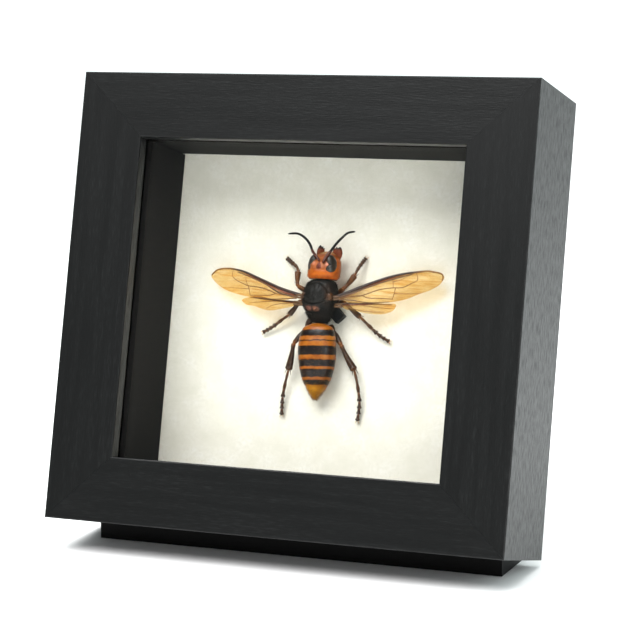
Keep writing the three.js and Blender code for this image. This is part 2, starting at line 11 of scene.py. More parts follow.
import bmesh
import bpy
import numpy as np
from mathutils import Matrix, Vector


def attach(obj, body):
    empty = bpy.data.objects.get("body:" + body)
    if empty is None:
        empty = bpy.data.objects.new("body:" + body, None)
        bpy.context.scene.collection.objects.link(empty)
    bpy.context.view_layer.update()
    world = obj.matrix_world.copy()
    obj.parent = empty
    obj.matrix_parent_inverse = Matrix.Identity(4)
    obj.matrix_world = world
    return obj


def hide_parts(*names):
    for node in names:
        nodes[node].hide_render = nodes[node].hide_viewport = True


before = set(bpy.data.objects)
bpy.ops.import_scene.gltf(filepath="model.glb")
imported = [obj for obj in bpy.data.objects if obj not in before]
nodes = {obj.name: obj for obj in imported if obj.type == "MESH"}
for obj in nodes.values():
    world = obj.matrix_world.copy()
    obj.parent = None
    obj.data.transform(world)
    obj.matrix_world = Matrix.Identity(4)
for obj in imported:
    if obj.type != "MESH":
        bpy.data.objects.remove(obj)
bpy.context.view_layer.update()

# %% [markdown]
# ## The specimen's own ruler
# The case leans back by 13.25 degrees, so world axes are awkward for the insect. A ruler that lies
# on the card is easier: x to the right, y towards the head and h up from the card, all in
# millimetres from the card's middle. One function turns these into world metres. A mapping node can
# do the reverse for materials, so that bands and grain follow the card and not the floor.

# %% From the card's millimetres to world metres
LEAN = math.radians(13.25)
DEPTH = 35.0
HALF_HEIGHT = 60.0
CARD_FRONT = 29.1
LIFT = 1.5
SHIFT = (DEPTH * math.cos(LEAN) - 2 * HALF_HEIGHT * math.sin(LEAN)) / 2


def to_world(points):
    p = np.asarray(points, float).reshape(-1, 3)
    back = CARD_FRONT - p[:, 2] - DEPTH
    up = p[:, 1] + HALF_HEIGHT
    world = np.empty_like(p)
    world[:, 0] = p[:, 0]
    world[:, 1] = SHIFT + math.cos(LEAN) * back + math.sin(LEAN) * up
    world[:, 2] = LIFT - math.sin(LEAN) * back + math.cos(LEAN) * up
    return world / 1000


CARD_ORIGIN = to_world([[0, 0, 0]])[0]
print("the card's middle lies at", np.round(CARD_ORIGIN, 4), "m")

# %% [markdown]
# ## The camera
# The photograph was taken with a long lens from the right and a little above. The camera comes
# first, so that each later piece can be judged in the same view. Its place was solved from the
# corners of the case, which shows how far their edges run together.

# %% The camera
CAMERA_PLACE = (0.217412, -0.544358, 0.145217)
CAMERA_AIM = (-0.36276, 0.92112, -0.14124)
lens_data = bpy.data.cameras.new("product_camera")
lens_data.sensor_width = 36.0
lens_data.lens = 126.034
lens_data.clip_start = 0.01
lens_data.clip_end = 50.0
camera = bpy.data.objects.new("product_camera", lens_data)
camera.location = CAMERA_PLACE
camera.rotation_euler = Vector(CAMERA_AIM).to_track_quat("-Z", "Y").to_euler()
bpy.context.collection.objects.link(camera)
bpy.context.scene.camera = camera
print("camera", [round(v, 3) for v in camera.location], "lens", lens_data.lens, "mm")

# %% [markdown]
# ## Helpers for materials
# Colours are read off as sRGB hex values, which is how a screen shows them, and one function turns
# them to the linear numbers that light needs. One small function adds any node with its settings
# and links. In its inputs a node stands for its first output, and a hex code for its colour, which
# keeps each finish short to read. Every material takes its place from the card's ruler.

# %% Colours and nodes
MM = 0.001
COLOUR_A = 6  # a mix node's own number for its first colour
COLOUR_B = 7  # and for its second


def colour(code):
    parts = [int(code[i:i + 2], 16) / 255 for i in (1, 3, 5)]
    linear = [c / 12.92 if c <= 0.04045 else ((c + 0.055) / 1.055) ** 2.4 for c in parts]
    return (*linear, 1.0)


def plug(tree, node, inputs):
    for key, value in inputs.items():
        if isinstance(value, bpy.types.Node):
            value = next(socket for socket in value.outputs if socket.enabled)
        if isinstance(value, str):
            value = colour(value)
        if isinstance(value, bpy.types.NodeSocket):
            tree.links.new(value, node.inputs[key])
        else:
            node.inputs[key].default_value = value


def add(tree, kind, inputs=None, stops=(), **settings):
    node = tree.nodes.new(kind)
    for name, value in settings.items():
        setattr(node, name, value)
    plug(tree, node, inputs or {})
    if stops:
        elements = node.color_ramp.elements
        while len(elements) < len(stops):
            elements.new(0.5)
        for element, (place, code) in zip(elements, stops):
            element.position = place
            element.color = colour(code)
    return node


print("black stain in linear light:", [round(v, 4) for v in colour("#2b2c2d")])

# %% [markdown]
# ## From nodes to finishes
# A natural surface is rarely one colour. Most finishes here start from one texture that is laid on
# the card's ruler, with so many waves per millimetre, because a real size keeps pores, pits and
# clouds true to scale. The same texture then gives the tone and a fine relief, as it does on the
# real thing, where a pore is both darker and deeper. Extra colours are painted over where a number,
# such as a place on the ruler, passes softly from one value to another.

# %% A material and its ruler


def new_material(name, **shader_inputs):
    material = bpy.data.materials.new(name)
    material.use_nodes = True
    tree = material.node_tree
    shader = tree.nodes["Principled BSDF"]
    for key, value in shader_inputs.items():
        shader.inputs[key.replace("_", " ")].default_value = value
    return material, tree, shader


def card_ruler(tree):
    # The ruler of a material is made once, and found again by its name.
    if "card_ruler" not in tree.nodes:
        place = add(tree, "ShaderNodeTexCoord")
        add(tree, "ShaderNodeMapping",
            {"Vector": place.outputs["Object"], "Location": CARD_ORIGIN,
             "Rotation": (math.pi / 2 - LEAN, 0, 0), "Scale": (MM, MM, MM)},
            vector_type="TEXTURE", name="card_ruler")
    return tree.nodes["card_ruler"]


def textured(tree, kind, waves_per_mm, **inputs):
    spread = add(tree, "ShaderNodeVectorMath", {0: card_ruler(tree), 1: waves_per_mm},
                 operation="MULTIPLY")
    return add(tree, kind, {"Vector": spread, "Scale": 1.0, **inputs})


print("a ruler reads", (MM, MM, MM), "m as one step along x, y and h")

# %% Tones, spots and relief


def paint_between(tree, under, over, number, low, high):
    share = add(tree, "ShaderNodeMapRange", {"Value": number, "From Min": low, "From Max": high},
                interpolation_type="SMOOTHSTEP")
    return add(tree, "ShaderNodeMix", {"Factor": share, COLOUR_A: under, COLOUR_B: over},
               data_type="RGBA")


def paint_spots(tree, tone, spots):
    # A spot is its centre on the ruler, its radius and half its soft edge in mm, and its colour.
    for centre, radius, edge, code in spots:
        away = add(tree, "ShaderNodeVectorMath", {0: card_ruler(tree), 1: centre},
                   operation="DISTANCE")
        tone = paint_between(tree, tone, code, away, radius + edge, radius - edge)
    return tone


def finish_surface(tree, shader, tone, height=None, depth_mm=0.0, strength=1.0):
    plug(tree, shader, {"Base Color": tone})
    if height is not None:
        relief = add(tree, "ShaderNodeBump", {"Height": height, "Distance": depth_mm * MM,
                                              "Strength": strength})
        plug(tree, shader, {"Normal": relief})


def mottled_finish(name, waves_per_mm, stops, relief=None, kind="ShaderNodeTexNoise",
                   texture=None, **shader_inputs):
    # One texture gives both tone and relief, which is its depth in mm and its strength.
    material, tree, shader = new_material(name, **shader_inputs)
    pattern = textured(tree, kind, waves_per_mm, **(texture or {}))
    tone = add(tree, "ShaderNodeValToRGB", {"Fac": pattern}, stops)
    if relief:
        finish_surface(tree, shader, tone, pattern, *relief)
    else:
        finish_surface(tree, shader, tone)
    return material


print("a spot of radius 1 mm with an edge of 0.5 mm fades from", 1.5, "to", 0.5, "mm")

# %% [markdown]
# ## Helpers for shapes
# Every piece of the hornet is one of three things: a shell lofted through stations along its
# length, a tube that follows a curve, or a spray of hairs. Sculpting by hand could do it too, but
# numbers keep every part to the size of the CAD model. Each helper returns points in the card's
# millimetres with their faces, so that several shapes can join in one piece.

# %% Smooth curves through a few measured points


def smooth_values(places, values, wanted):
    places = np.asarray(places, float)
    values = np.asarray(values, float)
    slopes = np.gradient(values, places, axis=0)
    i = np.clip(np.searchsorted(places, wanted) - 1, 0, len(places) - 2)
    width = (places[i + 1] - places[i])[:, None]
    t = (np.asarray(wanted)[:, None] - places[i][:, None]) / width
    a = 2 * t ** 3 - 3 * t ** 2 + 1
    b = t ** 3 - 2 * t ** 2 + t
    c = 3 * t ** 2 - 2 * t ** 3
    d = t ** 3 - t ** 2
    return a * values[i] + b * width * slopes[i] + c * values[i + 1] + d * width * slopes[i + 1]


def curve_through(points, count):
    points = np.asarray(points, float)
    lengths = np.linalg.norm(np.diff(points, axis=0), axis=1)
    places = np.concatenate([[0], np.cumsum(lengths)])
    return smooth_values(places, points, np.linspace(0, places[-1], count))


def unit(vectors):
    return vectors / np.maximum(np.linalg.norm(vectors, axis=-1, keepdims=True), 1e-9)


arc = curve_through([(0, 0, 0), (1, 1, 0), (2, 0, 0)], 5)
print("the second of 5 points on a smooth curve:", np.round(arc[1], 3))

# %% Faces of a grid and its closed ends


def grid_faces(rows, columns, start=0, wrap=True):
    faces = []
    for r in range(rows - 1):
        for c in range(columns if wrap else columns - 1):
            d = (c + 1) % columns
            a = start + r * columns
            faces.append((a + c, a + d, a + columns + d, a + columns + c))
    return faces


def close_ends(grid, tail=(), nose=()):
    # Each step past an end is a share of the end ring's size and a way along y in mm.
    rings = list(grid)
    for end, steps in ((0, tail), (-1, nose)):
        edge = grid[end]
        middle = edge.mean(axis=0)
        for scale, along in steps:
            ring = middle + (edge - middle) * scale
            ring[:, 1] += along
            if end == 0:
                rings.insert(0, ring)
            else:
                rings.append(ring)
    rows = len(rings)
    columns = rings[0].shape[0]
    points = np.concatenate(rings + [rings[0].mean(axis=0)[None], rings[-1].mean(axis=0)[None]])
    faces = grid_faces(rows, columns)
    last = rows * columns
    for c in range(columns):
        d = (c + 1) % columns
        faces.append((last, d, c))
        faces.append((last + 1, last - columns + c, last - columns + d))
    return points, faces


print("a grid of 3 rings and 4 columns has", len(grid_faces(3, 4)), "faces")

# %% Shells lofted through stations


def grid_normals(grid):
    around = np.roll(grid, -1, axis=1) - np.roll(grid, 1, axis=1)
    along = np.gradient(grid, axis=0)
    normals = unit(np.cross(around, along))
    outward = grid - grid.mean(axis=1, keepdims=True)
    flip = np.sign((normals * outward).sum(axis=2, keepdims=True))
    return normals * np.where(flip == 0, 1, flip)


def shell(stations, ends, rows, columns, relief=None):
    # A station is [y, middle x, middle h, half width, height above, height below].
    table = np.asarray(sorted(stations), float)
    ys = np.linspace(ends[0], ends[1], rows)
    cx, ch, half, above, below = smooth_values(table[:, 0], table[:, 1:], ys).T
    angle = np.linspace(0, 2 * np.pi, columns, endpoint=False)
    across = np.sign(np.cos(angle)) * np.abs(np.cos(angle)) ** (2 / 2.2)
    upward = np.sign(np.sin(angle)) * np.abs(np.sin(angle)) ** (2 / 2.2)
    grid = np.empty((rows, columns, 3))
    grid[..., 0] = cx[:, None] + half[:, None] * across
    grid[..., 1] = ys[:, None]
    grid[..., 2] = ch[:, None] + np.where(upward > 0, above[:, None], below[:, None]) * upward
    if relief is not None:
        side = grid[..., 0] - cx[:, None]
        top = np.clip(upward[None] * 1.6 + 0.2, 0, 1) * np.ones((rows, 1))
        grid += grid_normals(grid) * relief(side, grid[..., 1], top)[..., None]
    return grid


disc = shell([[0, 0, 0, 1, 1, 1], [1, 0, 0, 1, 1, 1], [2, 0, 0, 1, 1, 1]], (0, 2), 3, 8)
print("a short round shell is", np.ptp(disc[..., 0]).round(2), "mm wide")

# %% Tubes along a curve


def tube(path, radii, sides=10, flat=1.0):
    path = np.asarray(path, float)
    radii = np.broadcast_to(np.asarray(radii, float), (len(path),))
    ahead = unit(np.gradient(path, axis=0))
    right = unit(np.cross(ahead, (0.0, 0.0, 1.0)))
    over = np.cross(right, ahead)
    angle = np.linspace(0, 2 * np.pi, sides, endpoint=False)
    across = np.cos(angle)[None, :, None] * right[:, None]
    upward = flat * np.sin(angle)[None, :, None] * over[:, None]
    rings = path[:, None] + radii[:, None, None] * (across + upward)
    points = np.concatenate([rings.reshape(-1, 3), path[:1] - ahead[:1] * radii[0] * 0.5,
                             path[-1:] + ahead[-1:] * radii[-1] * 0.5])
    faces = grid_faces(len(path), sides)
    last = len(path) * sides
    for c in range(sides):
        d = (c + 1) % sides
        faces.append((last, d, c))
        faces.append((last + 1, last - sides + c, last - sides + d))
    return points, faces


rod = tube([(0, 0, 0), (1, 0, 0), (2, 0, 0), (3, 0, 0)], 0.2)
print("a tube of 4 rings has", len(rod[1]), "faces")

# %% Joining shapes and making a piece


def join(shapes):
    points = []
    faces = []
    start = 0
    for some_points, some_faces in shapes:
        points.append(np.asarray(some_points, float).reshape(-1, 3))
        faces.extend(tuple(start + i for i in face) for face in some_faces)
        start += len(points[-1])
    return np.concatenate(points), faces


def make_piece(name, shape, materials, replaces=(), slots=None, marks=None, solid=True):
    points, faces = shape
    mesh = bpy.data.meshes.new(name)
    mesh.from_pydata(to_world(points).tolist(), [], faces)
    for material in materials:
        mesh.materials.append(material)
    if slots is not None:
        mesh.polygons.foreach_set("material_index", np.asarray(slots, dtype=np.int32))
    for mark, values in (marks or {}).items():
        layer = mesh.attributes.new(mark, "FLOAT", "POINT")
        layer.data.foreach_set("value", np.asarray(values, dtype=np.float32))
    if solid:
        work = bmesh.new()
        work.from_mesh(mesh)
        bmesh.ops.recalc_face_normals(work, faces=work.faces[:])
        work.to_mesh(mesh)
        work.free()
    mesh.polygons.foreach_set("use_smooth", [True] * len(mesh.polygons))
    piece = bpy.data.objects.new(name, mesh)
    bpy.context.collection.objects.link(piece)
    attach(piece, "root")
    if replaces:
        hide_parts(*replaces)
    print(f"{name}: {len(mesh.vertices)} points, {len(mesh.polygons)} faces")
    return piece


def dress(node_name, material):
    for place in nodes[node_name].material_slots:
        place.material = material


# %% [markdown]
# ## Hairs
# Real down is far finer than a pixel here, so each hair of the model stands for a small tuft. It is
# a slim three-sided spike with a bend, a closed solid. Particle hair could grow them, but a joined
# mesh stays the same on every run and in every export. The bake map OFBake gives each tuft its own
# small patch, laid out by where its root sits along the skin or the limb.

# %% A spray of hairs
HAIR_POINTS = 7
rng = np.random.default_rng(41)


def spray(roots, leans, lengths, thick, bend=0.35):
    count = len(roots)
    leans = unit(leans)
    aside = unit(np.cross(leans, rng.normal(size=(count, 3))))
    other = np.cross(leans, aside)
    bow = unit(aside + 0.6 * other) * (bend * lengths)[:, None]
    turns = np.array([0, 2 * np.pi / 3, 4 * np.pi / 3])
    star = (np.cos(turns)[None, :, None] * aside[:, None]
            + np.sin(turns)[None, :, None] * other[:, None])
    foot = roots[:, None] - leans[:, None] * 0.04 + star * thick
    middle = (roots + leans * (0.5 * lengths)[:, None] + bow * 0.25)[:, None] + star * thick * 0.75
    tip = (roots + leans * lengths[:, None] + bow)[:, None]
    points = np.concatenate([foot, middle, tip], axis=1).reshape(-1, 3)
    pattern = [(0, 1, 4, 3), (1, 2, 5, 4), (2, 0, 3, 5), (3, 4, 6), (4, 5, 6), (5, 3, 6), (2, 1, 0)]
    faces = [tuple(HAIR_POINTS * i + k for k in face) for i in range(count) for face in pattern]
    return points, faces


print("each hair of the model has", HAIR_POINTS, "points")

# %% The bake map and the roots
HALF_PATCH = 0.0015
MARGIN = 0.02


def map_tufts(piece, root_places):
    # The seven points of a tuft spread over its patch, and a margin keeps patches on the map.
    corner = np.array([(-1, -1), (0, -1), (1, -1), (-1, 0), (0, 0), (1, 0), (0, 1)]) * HALF_PATCH
    inside = np.asarray(root_places)[:, None] * (1 - 2 * MARGIN) + MARGIN
    places = (inside + corner[None]).reshape(-1, 2)
    layer = piece.data.uv_layers.new(name="OFBake")
    order = np.empty(len(piece.data.loops), dtype=np.int32)
    piece.data.loops.foreach_get("vertex_index", order)
    layer.data.foreach_set("uv", places[order].astype(np.float32).ravel())


def roots_on(grid, count, allow, seed):
    # Three times as many places as needed are drawn, and the first allowed ones are kept.
    pick = np.random.default_rng(seed)
    rows, columns = grid.shape[:2]
    normals = grid_normals(grid)
    r = pick.uniform(1, rows - 2, count * 3)
    c = pick.uniform(0, columns, count * 3)
    i = r.astype(int)
    j = c.astype(int) % columns
    fr = (r - i)[:, None]
    k = (j + 1) % columns
    fc = (c - np.floor(c))[:, None]
    place = (grid[i, j] * (1 - fr) * (1 - fc) + grid[i + 1, j] * fr * (1 - fc)
             + grid[i, k] * (1 - fr) * fc + grid[i + 1, k] * fr * fc)
    keep = np.flatnonzero(allow(place))[:count]
    uv = np.stack([c[keep] / columns, r[keep] / rows], axis=1)
    return place[keep], normals[i[keep], j[keep]], uv


print("a patch of the bake map is", 2 * HALF_PATCH, "wide")

# %% [markdown]
# # The case
# ## Black stained wood
# The rails are an open-pored hardwood moulding, stained black and waxed. The eye sees a charcoal
# satin surface with fine dark pores along each rail, and a soft white sheen where the side is seen
# at a glancing angle. A photo of wood could be laid on, but stretched noise follows each rail and
# has no seams: pores about 0.2 mm wide and 6 mm long, drawn at 0.35 mm so that they show.

# %% Stained wood, with the grain across or upright


def stained_wood(name, across):
    # Stained and waxed hardwood: the wax shines on the wood and dulls in the pores.
    material, tree, shader = new_material(name, IOR=1.47, Specular_IOR_Level=0.17)
    fine = (0.32, 2.6, 1.3) if across else (2.6, 0.32, 1.3)
    broad = (0.03, 0.6, 0.6) if across else (0.6, 0.03, 0.6)
    pores = textured(tree, "ShaderNodeTexNoise", fine, Detail=5.0, Roughness=0.62)
    figure = textured(tree, "ShaderNodeTexNoise", broad, Detail=3.0, Distortion=0.4)
    grain = add(tree, "ShaderNodeValToRGB", {"Fac": pores},
                [(0.32, "#090a0a"), (0.5, "#121313"), (0.72, "#202121")])
    deep_stain = add(tree, "ShaderNodeMix", {"Factor": 0.5, COLOUR_A: "#090a0a", COLOUR_B: grain},
                     data_type="RGBA")
    tone = paint_between(tree, deep_stain, grain, figure, 0.32, 0.68)
    wax = add(tree, "ShaderNodeMapRange", {"Value": pores, "From Min": 0.3, "From Max": 0.62,
                                           "To Min": 0.46, "To Max": 0.3},
              interpolation_type="SMOOTHSTEP")
    plug(tree, shader, {"Roughness": wax})
    finish_surface(tree, shader, tone, pores, 0.045, 0.8)
    return material


wood_across = stained_wood("black_stained_wood_grain_across", True)
wood_upright = stained_wood("black_stained_wood_grain_upright", False)
print("wood finishes:", wood_across.name, wood_upright.name)

# %% [markdown]
# ## Mitred rails
# Four rails meet in mitres. The CAD shape is exact but knife-sharp, and a real moulding has edges
# eased by sanding that catch a thin line of light. A bevel makes them. It leaves the mitres out, so
# that the corners stay closed, and each mitre is pushed on by 0.04 mm, which joins the rails.

# %% Rails with eased edges
EASED_EDGE = 0.35 * MM
MITRE_PUSH = 0.04 * MM
UP_THE_CASE = Vector((0, math.sin(LEAN), math.cos(LEAN)))
for rail, finish in (("rail_top", wood_across), ("rail_bottom", wood_across),
                     ("rail_left", wood_upright), ("rail_right", wood_upright)):
    mesh = nodes[rail].data.copy()
    work = bmesh.new()
    work.from_mesh(mesh)
    bmesh.ops.remove_doubles(work, verts=work.verts[:], dist=1e-6)
    bmesh.ops.dissolve_limit(work, angle_limit=0.01, verts=work.verts[:], edges=work.edges[:])
    bmesh.ops.recalc_face_normals(work, faces=work.faces[:])
    mitres = [f for f in work.faces
              if abs(f.normal.x) > 0.5 and abs(f.normal.dot(UP_THE_CASE)) > 0.5]
    weight = work.edges.layers.float.new("bevel_weight_edge")
    for edge in work.edges:
        outer = len(edge.link_faces) == 2 and not any(f in mitres for f in edge.link_faces)
        edge[weight] = 1.0 if outer and edge.calc_face_angle(0.0) > 0.7 else 0.0
    pushed = {v: f.normal.copy() for f in mitres for v in f.verts}
    for corner, way in pushed.items():
        corner.co += way * MITRE_PUSH
    work.to_mesh(mesh)
    work.free()
    mesh.materials.clear()
    mesh.materials.append(finish)
    eased = bpy.data.objects.new("moulding_" + rail[5:], mesh)
    bpy.context.collection.objects.link(eased)
    bevel = eased.modifiers.new("eased_edges", "BEVEL")
    bevel.width = EASED_EDGE
    bevel.segments = 2
    bevel.limit_method = "WEIGHT"
    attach(eased, "root")
    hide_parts(rail)
    print(eased.name, "with", len(mesh.polygons), "faces before its edges are eased")

# %% [markdown]
# ## Glass
# The pane is 2 mm float glass. It could refract, but then little light reaches the card and the
# picture gets noisy. A clear film mixed with a mirror looks the same through so thin a plate. The
# share of mirror is 4% face on and grows with the fifth power towards a glancing angle, the same on
# both sides of the pane. A Fresnel node would call the far side a mirror from 42 degrees on, and
# hide the hornet.

# %% Float glass
# Polished glass: clear with a faint green cast, and a weak mirror that is strong only edge on.
pane, tree, shader = new_material("clear_float_glass")
tree.nodes.remove(shader)
edge_on = add(tree, "ShaderNodeLayerWeight", {"Blend": 0.5})
steep = add(tree, "ShaderNodeMath", {0: edge_on.outputs["Facing"], 1: 5.0}, operation="POWER")
mirror_share = add(tree, "ShaderNodeMapRange", {"Value": steep, "To Min": 0.04, "To Max": 1.0})
film = add(tree, "ShaderNodeBsdfTransparent", {"Color": "#fdfefe"})
mirror = add(tree, "ShaderNodeBsdfGlossy", {"Color": "#ffffff", "Roughness": 0.02})
both = add(tree, "ShaderNodeMixShader", {0: mirror_share, 1: film, 2: mirror})
plug(tree, tree.nodes["Material Output"], {"Surface": both})
dress("glass_pane", pane)
print("the pane wears", pane.name)

# %% [markdown]
# ## Inner walls and card
# Behind the glass, four strips of black faced board keep the card back. They are matt, so that they
# read as shadow. The card is an ivory paper with a soft mottle of a few millimetres and finer
# fibres. It is the brightest thing in the case, and its tone sets the whole picture, so it gets two
# textures: slow clouds for the tone, and a fine one for the fibres.

# %% Matt black board of the inner walls
# Faced board: long paper fibres scatter the light, and almost no gloss is left.
wall_board = mottled_finish(
    "matt_black_board", (1.2, 1.2, 0.25), [(0.3, "#0b0a09"), (0.7, "#13110f")],
    relief=(0.05, 0.6), texture={"Detail": 4.0}, Roughness=0.8, IOR=1.45, Specular_IOR_Level=0.2)
for wall in ("wall_left", "wall_right", "wall_bottom", "wall_top"):
    dress(wall, wall_board)
print("four walls wear", wall_board.name)

# %% Ivory mottled card
# Uncoated paper: broad warm clouds, a fine mottle of fibres, and no shine.
ivory_card, tree, shader = new_material("ivory_mottled_card", Roughness=0.75, IOR=1.46)
clouds = textured(tree, "ShaderNodeTexNoise", (0.16, 0.16, 0.16), Detail=5.0, Roughness=0.62)
fibres = textured(tree, "ShaderNodeTexNoise", (1.1, 1.1, 1.1), Detail=3.0)
cloud_tone = add(tree, "ShaderNodeValToRGB", {"Fac": clouds},
                 [(0.28, "#e9e4d2"), (0.5, "#f4eedf"), (0.7, "#faf5ea")])
tone = paint_between(tree, cloud_tone, "#eee8d8", fibres, 0.35, 0.75)
finish_surface(tree, shader, tone, fibres, 0.04, 0.5)
dress("backing_card", ivory_card)
print("the card wears", ivory_card.name)

# %% [markdown]
# ## Back, tabs, foot and block
# The back is brown hardboard, wood fibre pressed wet, held by zinc plated steel tabs. The foot is
# moulded polypropylene with a fine spark-eroded grain, and the block behind the hornet is cut from
# black foam. Each is one texture in its real size, so one function makes them all.

# %% Pressed hardboard back
# Pressed fibres: a brown felt of short strands that shows as mottle and a rough relief.
hardboard = mottled_finish(
    "pressed_hardboard", (1.4, 0.5, 1.4), [(0.3, "#5c432c"), (0.55, "#7d6040"), (0.75, "#937452")],
    relief=(0.08, 0.7), texture={"Detail": 6.0, "Roughness": 0.7}, Roughness=0.62, IOR=1.48)
dress("back_panel", hardboard)
print("the back wears", hardboard.name)

# %% Zinc plated steel tabs
# Plated sheet steel: a bright grey metal whose fine rolling marks blur what it mirrors.
zinc = mottled_finish(
    "zinc_plated_steel", (0.6, 7.0, 7.0), [(0.3, "#9a9c9e"), (0.7, "#c4c6c8")],
    relief=(0.02, 0.5), texture={"Detail": 3.0}, Metallic=1.0, Roughness=0.34)
for tab in ("turn_tab_left", "turn_tab_right", "turn_tab_top", "turn_tab_bottom"):
    dress(tab, zinc)
print("four tabs wear", zinc.name)

# %% Moulded foot and foam block
# Moulded plastic: deep black, with a grain that turns its gloss into a faint haze.
moulded = mottled_finish(
    "black_moulded_polypropylene", (3.0, 3.0, 3.0), [(0.3, "#040404"), (0.7, "#090909")],
    relief=(0.05, 0.6), texture={"Detail": 2.0}, Roughness=0.55, IOR=1.49,
    Specular_IOR_Level=0.12)
dress("stand_foot", moulded)
# Closed-cell foam: cells of a quarter millimetre, each with a dull rim.
foam = mottled_finish(
    "black_closed_cell_foam", (4.0, 4.0, 4.0), [(0.0, "#050505"), (0.8, "#121212")],
    relief=(0.08, 0.8), kind="ShaderNodeTexVoronoi", Roughness=0.9, IOR=1.45)
dress("mount_block", foam)
print("the foot and the block wear", moulded.name, "and", foam.name)

# %% [markdown]
# # The hornet
# ## Chitin
# The shell of an insect is chitin, a natural plastic: smooth, a little waxy, with an index near
# 1.55. Fine pits a tenth of a millimetre wide break its gloss, drawn here a little coarser. Most
# colours sit in the shell itself, so a band's edge is soft and slightly ragged. A few marks are
# painted light instead: pinkish highlights beside the eyes, shade at the nape, and a thin shadow
# line behind the first ring of the abdomen.

# %% Orange chitin of the head
# Waxy chitin: light enters a little, so the orange glows, and pits break the shine.
head_chitin, tree, shader = new_material(
    "orange_chitin_pitted", Roughness=0.42, IOR=1.5, Specular_IOR_Level=0.22,
    Subsurface_Weight=0.12, Subsurface_Scale=0.0006)
axes = add(tree, "ShaderNodeSeparateXYZ", {"Vector": card_ruler(tree)})
pits = textured(tree, "ShaderNodeTexNoise", (4.5, 4.5, 4.5), Detail=3.0)
cloud = textured(tree, "ShaderNodeTexNoise", (0.8, 0.8, 0.8), Detail=3.0)
crown = add(tree, "ShaderNodeValToRGB", {"Fac": cloud},
            [(0.3, "#a04606"), (0.6, "#ba5a0a"), (0.8, "#c86c12")])
face = add(tree, "ShaderNodeValToRGB", {"Fac": cloud},
           [(0.3, "#864218"), (0.6, "#9e5224"), (0.8, "#ae6638")])
inward = paint_between(tree, crown, face, axes.outputs["X"], 4.9, 4.1)
tone = paint_between(tree, crown, inward, axes.outputs["Y"], 11.0, 11.9)
# Tones by place on the ruler: the temples and the pale lip are the head's own colour, the dark band
# at the nape is painted shade.
HEAD_TONES_AND_NAPE_SHADE = [("Z", 7.6, 5.6, "#a24a14"),  # the temples, low on the sides
               ("Y", 15.6, 16.3, "#a87a4c"),  # the pale lip above the jaws
               ("Y", 9.35, 8.9, "#3a160c")]  # painted shade where the head meets the middle body
for axis, low, high, code in HEAD_TONES_AND_NAPE_SHADE:
    tone = paint_between(tree, tone, code, axes.outputs[axis], low, high)
HEAD_SPOTS_AND_HIGHLIGHTS = [((0.55, 12.6, 9.4), 1.15, 0.6, "#b86c42"),
              ((0.62, 12.25, 9.3), 0.72, 0.35, "#561a0a"),
              ((0.66, 12.95, 9.2), 0.45, 0.3, "#6a2412"),
              ((0.68, 13.5, 9.1), 0.22, 0.2, "#7a2e16"),
              ((2.05, 13.35, 9.1), 0.4, 0.25, "#5a1a0c"),
              # painted highlights: two pinkish gleams on the face beside the notches of the eyes
              ((2.85, 13.3, 8.9), 0.6, 0.4, "#cf8c74"),
              ((-1.1, 13.3, 9.0), 0.6, 0.4, "#c98468")]
tone = paint_spots(tree, tone, HEAD_SPOTS_AND_HIGHLIGHTS)
finish_surface(tree, shader, tone, pits, 0.05, 0.6)
print("the head's chitin has", len(HEAD_SPOTS_AND_HIGHLIGHTS), "spots")

# %% [markdown]
# ## The head
# Seen from above, the head is a broad square-shouldered capsule. A swollen crown runs across behind
# the eyes, three small simple eyes sit on a raised dark triangle, and the face falls away to the
# shield above the jaws. The capsule is a lofted shell whose surface is pushed in and out by soft
# hollows and ridges, which keeps every form exact and smooth.

# %% Sculpting the head capsule
HEAD = [[9.3, .95, 6, 4.0, 2.7, 2.6], [9.7, 1, 6, 4.28, 3.05, 2.95],
        [10.9, 1.1, 6, 4.4, 3.35, 3.1], [12.4, 1.15, 5.9, 4.4, 3.35, 3.1],
        [13.9, 1.2, 5.6, 4.15, 3.2, 2.9], [15.2, 1.25, 5.1, 3.4, 2.6, 2.5],
        [16.0, 1.3, 4.7, 2.5, 1.8, 1.8], [16.6, 1.3, 4.3, 1.6, 1.1, 1.0]]
FACE_TURN = 1.1


def bell(x, y, cx, cy, wx, wy):
    return np.exp(-((x - cx) / wx) ** 2 - ((y - cy) / wy) ** 2)


def head_relief(side, y, top):
    # x is counted from the card's middle, and side from the head's own.
    x = side + FACE_TURN
    depth = 0.16 * bell(x, y, 0.35, 12.7, 0.95, 1.2)
    depth -= 0.10 * bell(side, y, 0, 11.45, 3.0, 0.28)
    depth += 0.10 * bell(side, y, 0, 10.4, 4.0, 0.7)
    depth -= 0.22 * bell(x, y, 2.05, 13.45, 0.5, 0.5)
    depth -= 0.22 * bell(x, y, 0.45, 14.05, 0.5, 0.5)
    depth -= 0.10 * bell(x, y, 1.2, 14.6, 0.14, 0.7)
    depth += 0.16 * bell(side, y, 0, 15.6, 1.6, 0.6)
    arch = y - (15.0 - 0.18 * side ** 2)
    depth -= 0.12 * np.exp(-(arch / 0.16) ** 2) * (np.abs(side) < 2.6)
    return depth * top


head_grid = shell(HEAD, (9.3, 16.6), 110, 150, head_relief)
capsule = close_ends(
    head_grid, tail=[(0.985, -0.12), (0.93, -0.22), (0.8, -0.2), (0.55, 0.02), (0.3, 0.1)],
    nose=[(0.93, 0.1), (0.75, 0.18), (0.45, 0.24)])
make_piece("head_capsule", capsule, [head_chitin], ["head"])

# %% [markdown]
# ## Compound eyes
# A hornet's eye is a long dome with a deep notch towards the face, so from above it reads as a dark
# letter C. A dome over a kidney-shaped outline gives exactly that, and the same dome without its
# notch also makes the simple eyes and the scales over the wing roots. Thousands of facets make the
# real surface, each about 0.03 mm wide. They are too fine to show, so the bump draws them at
# 0.15 mm.

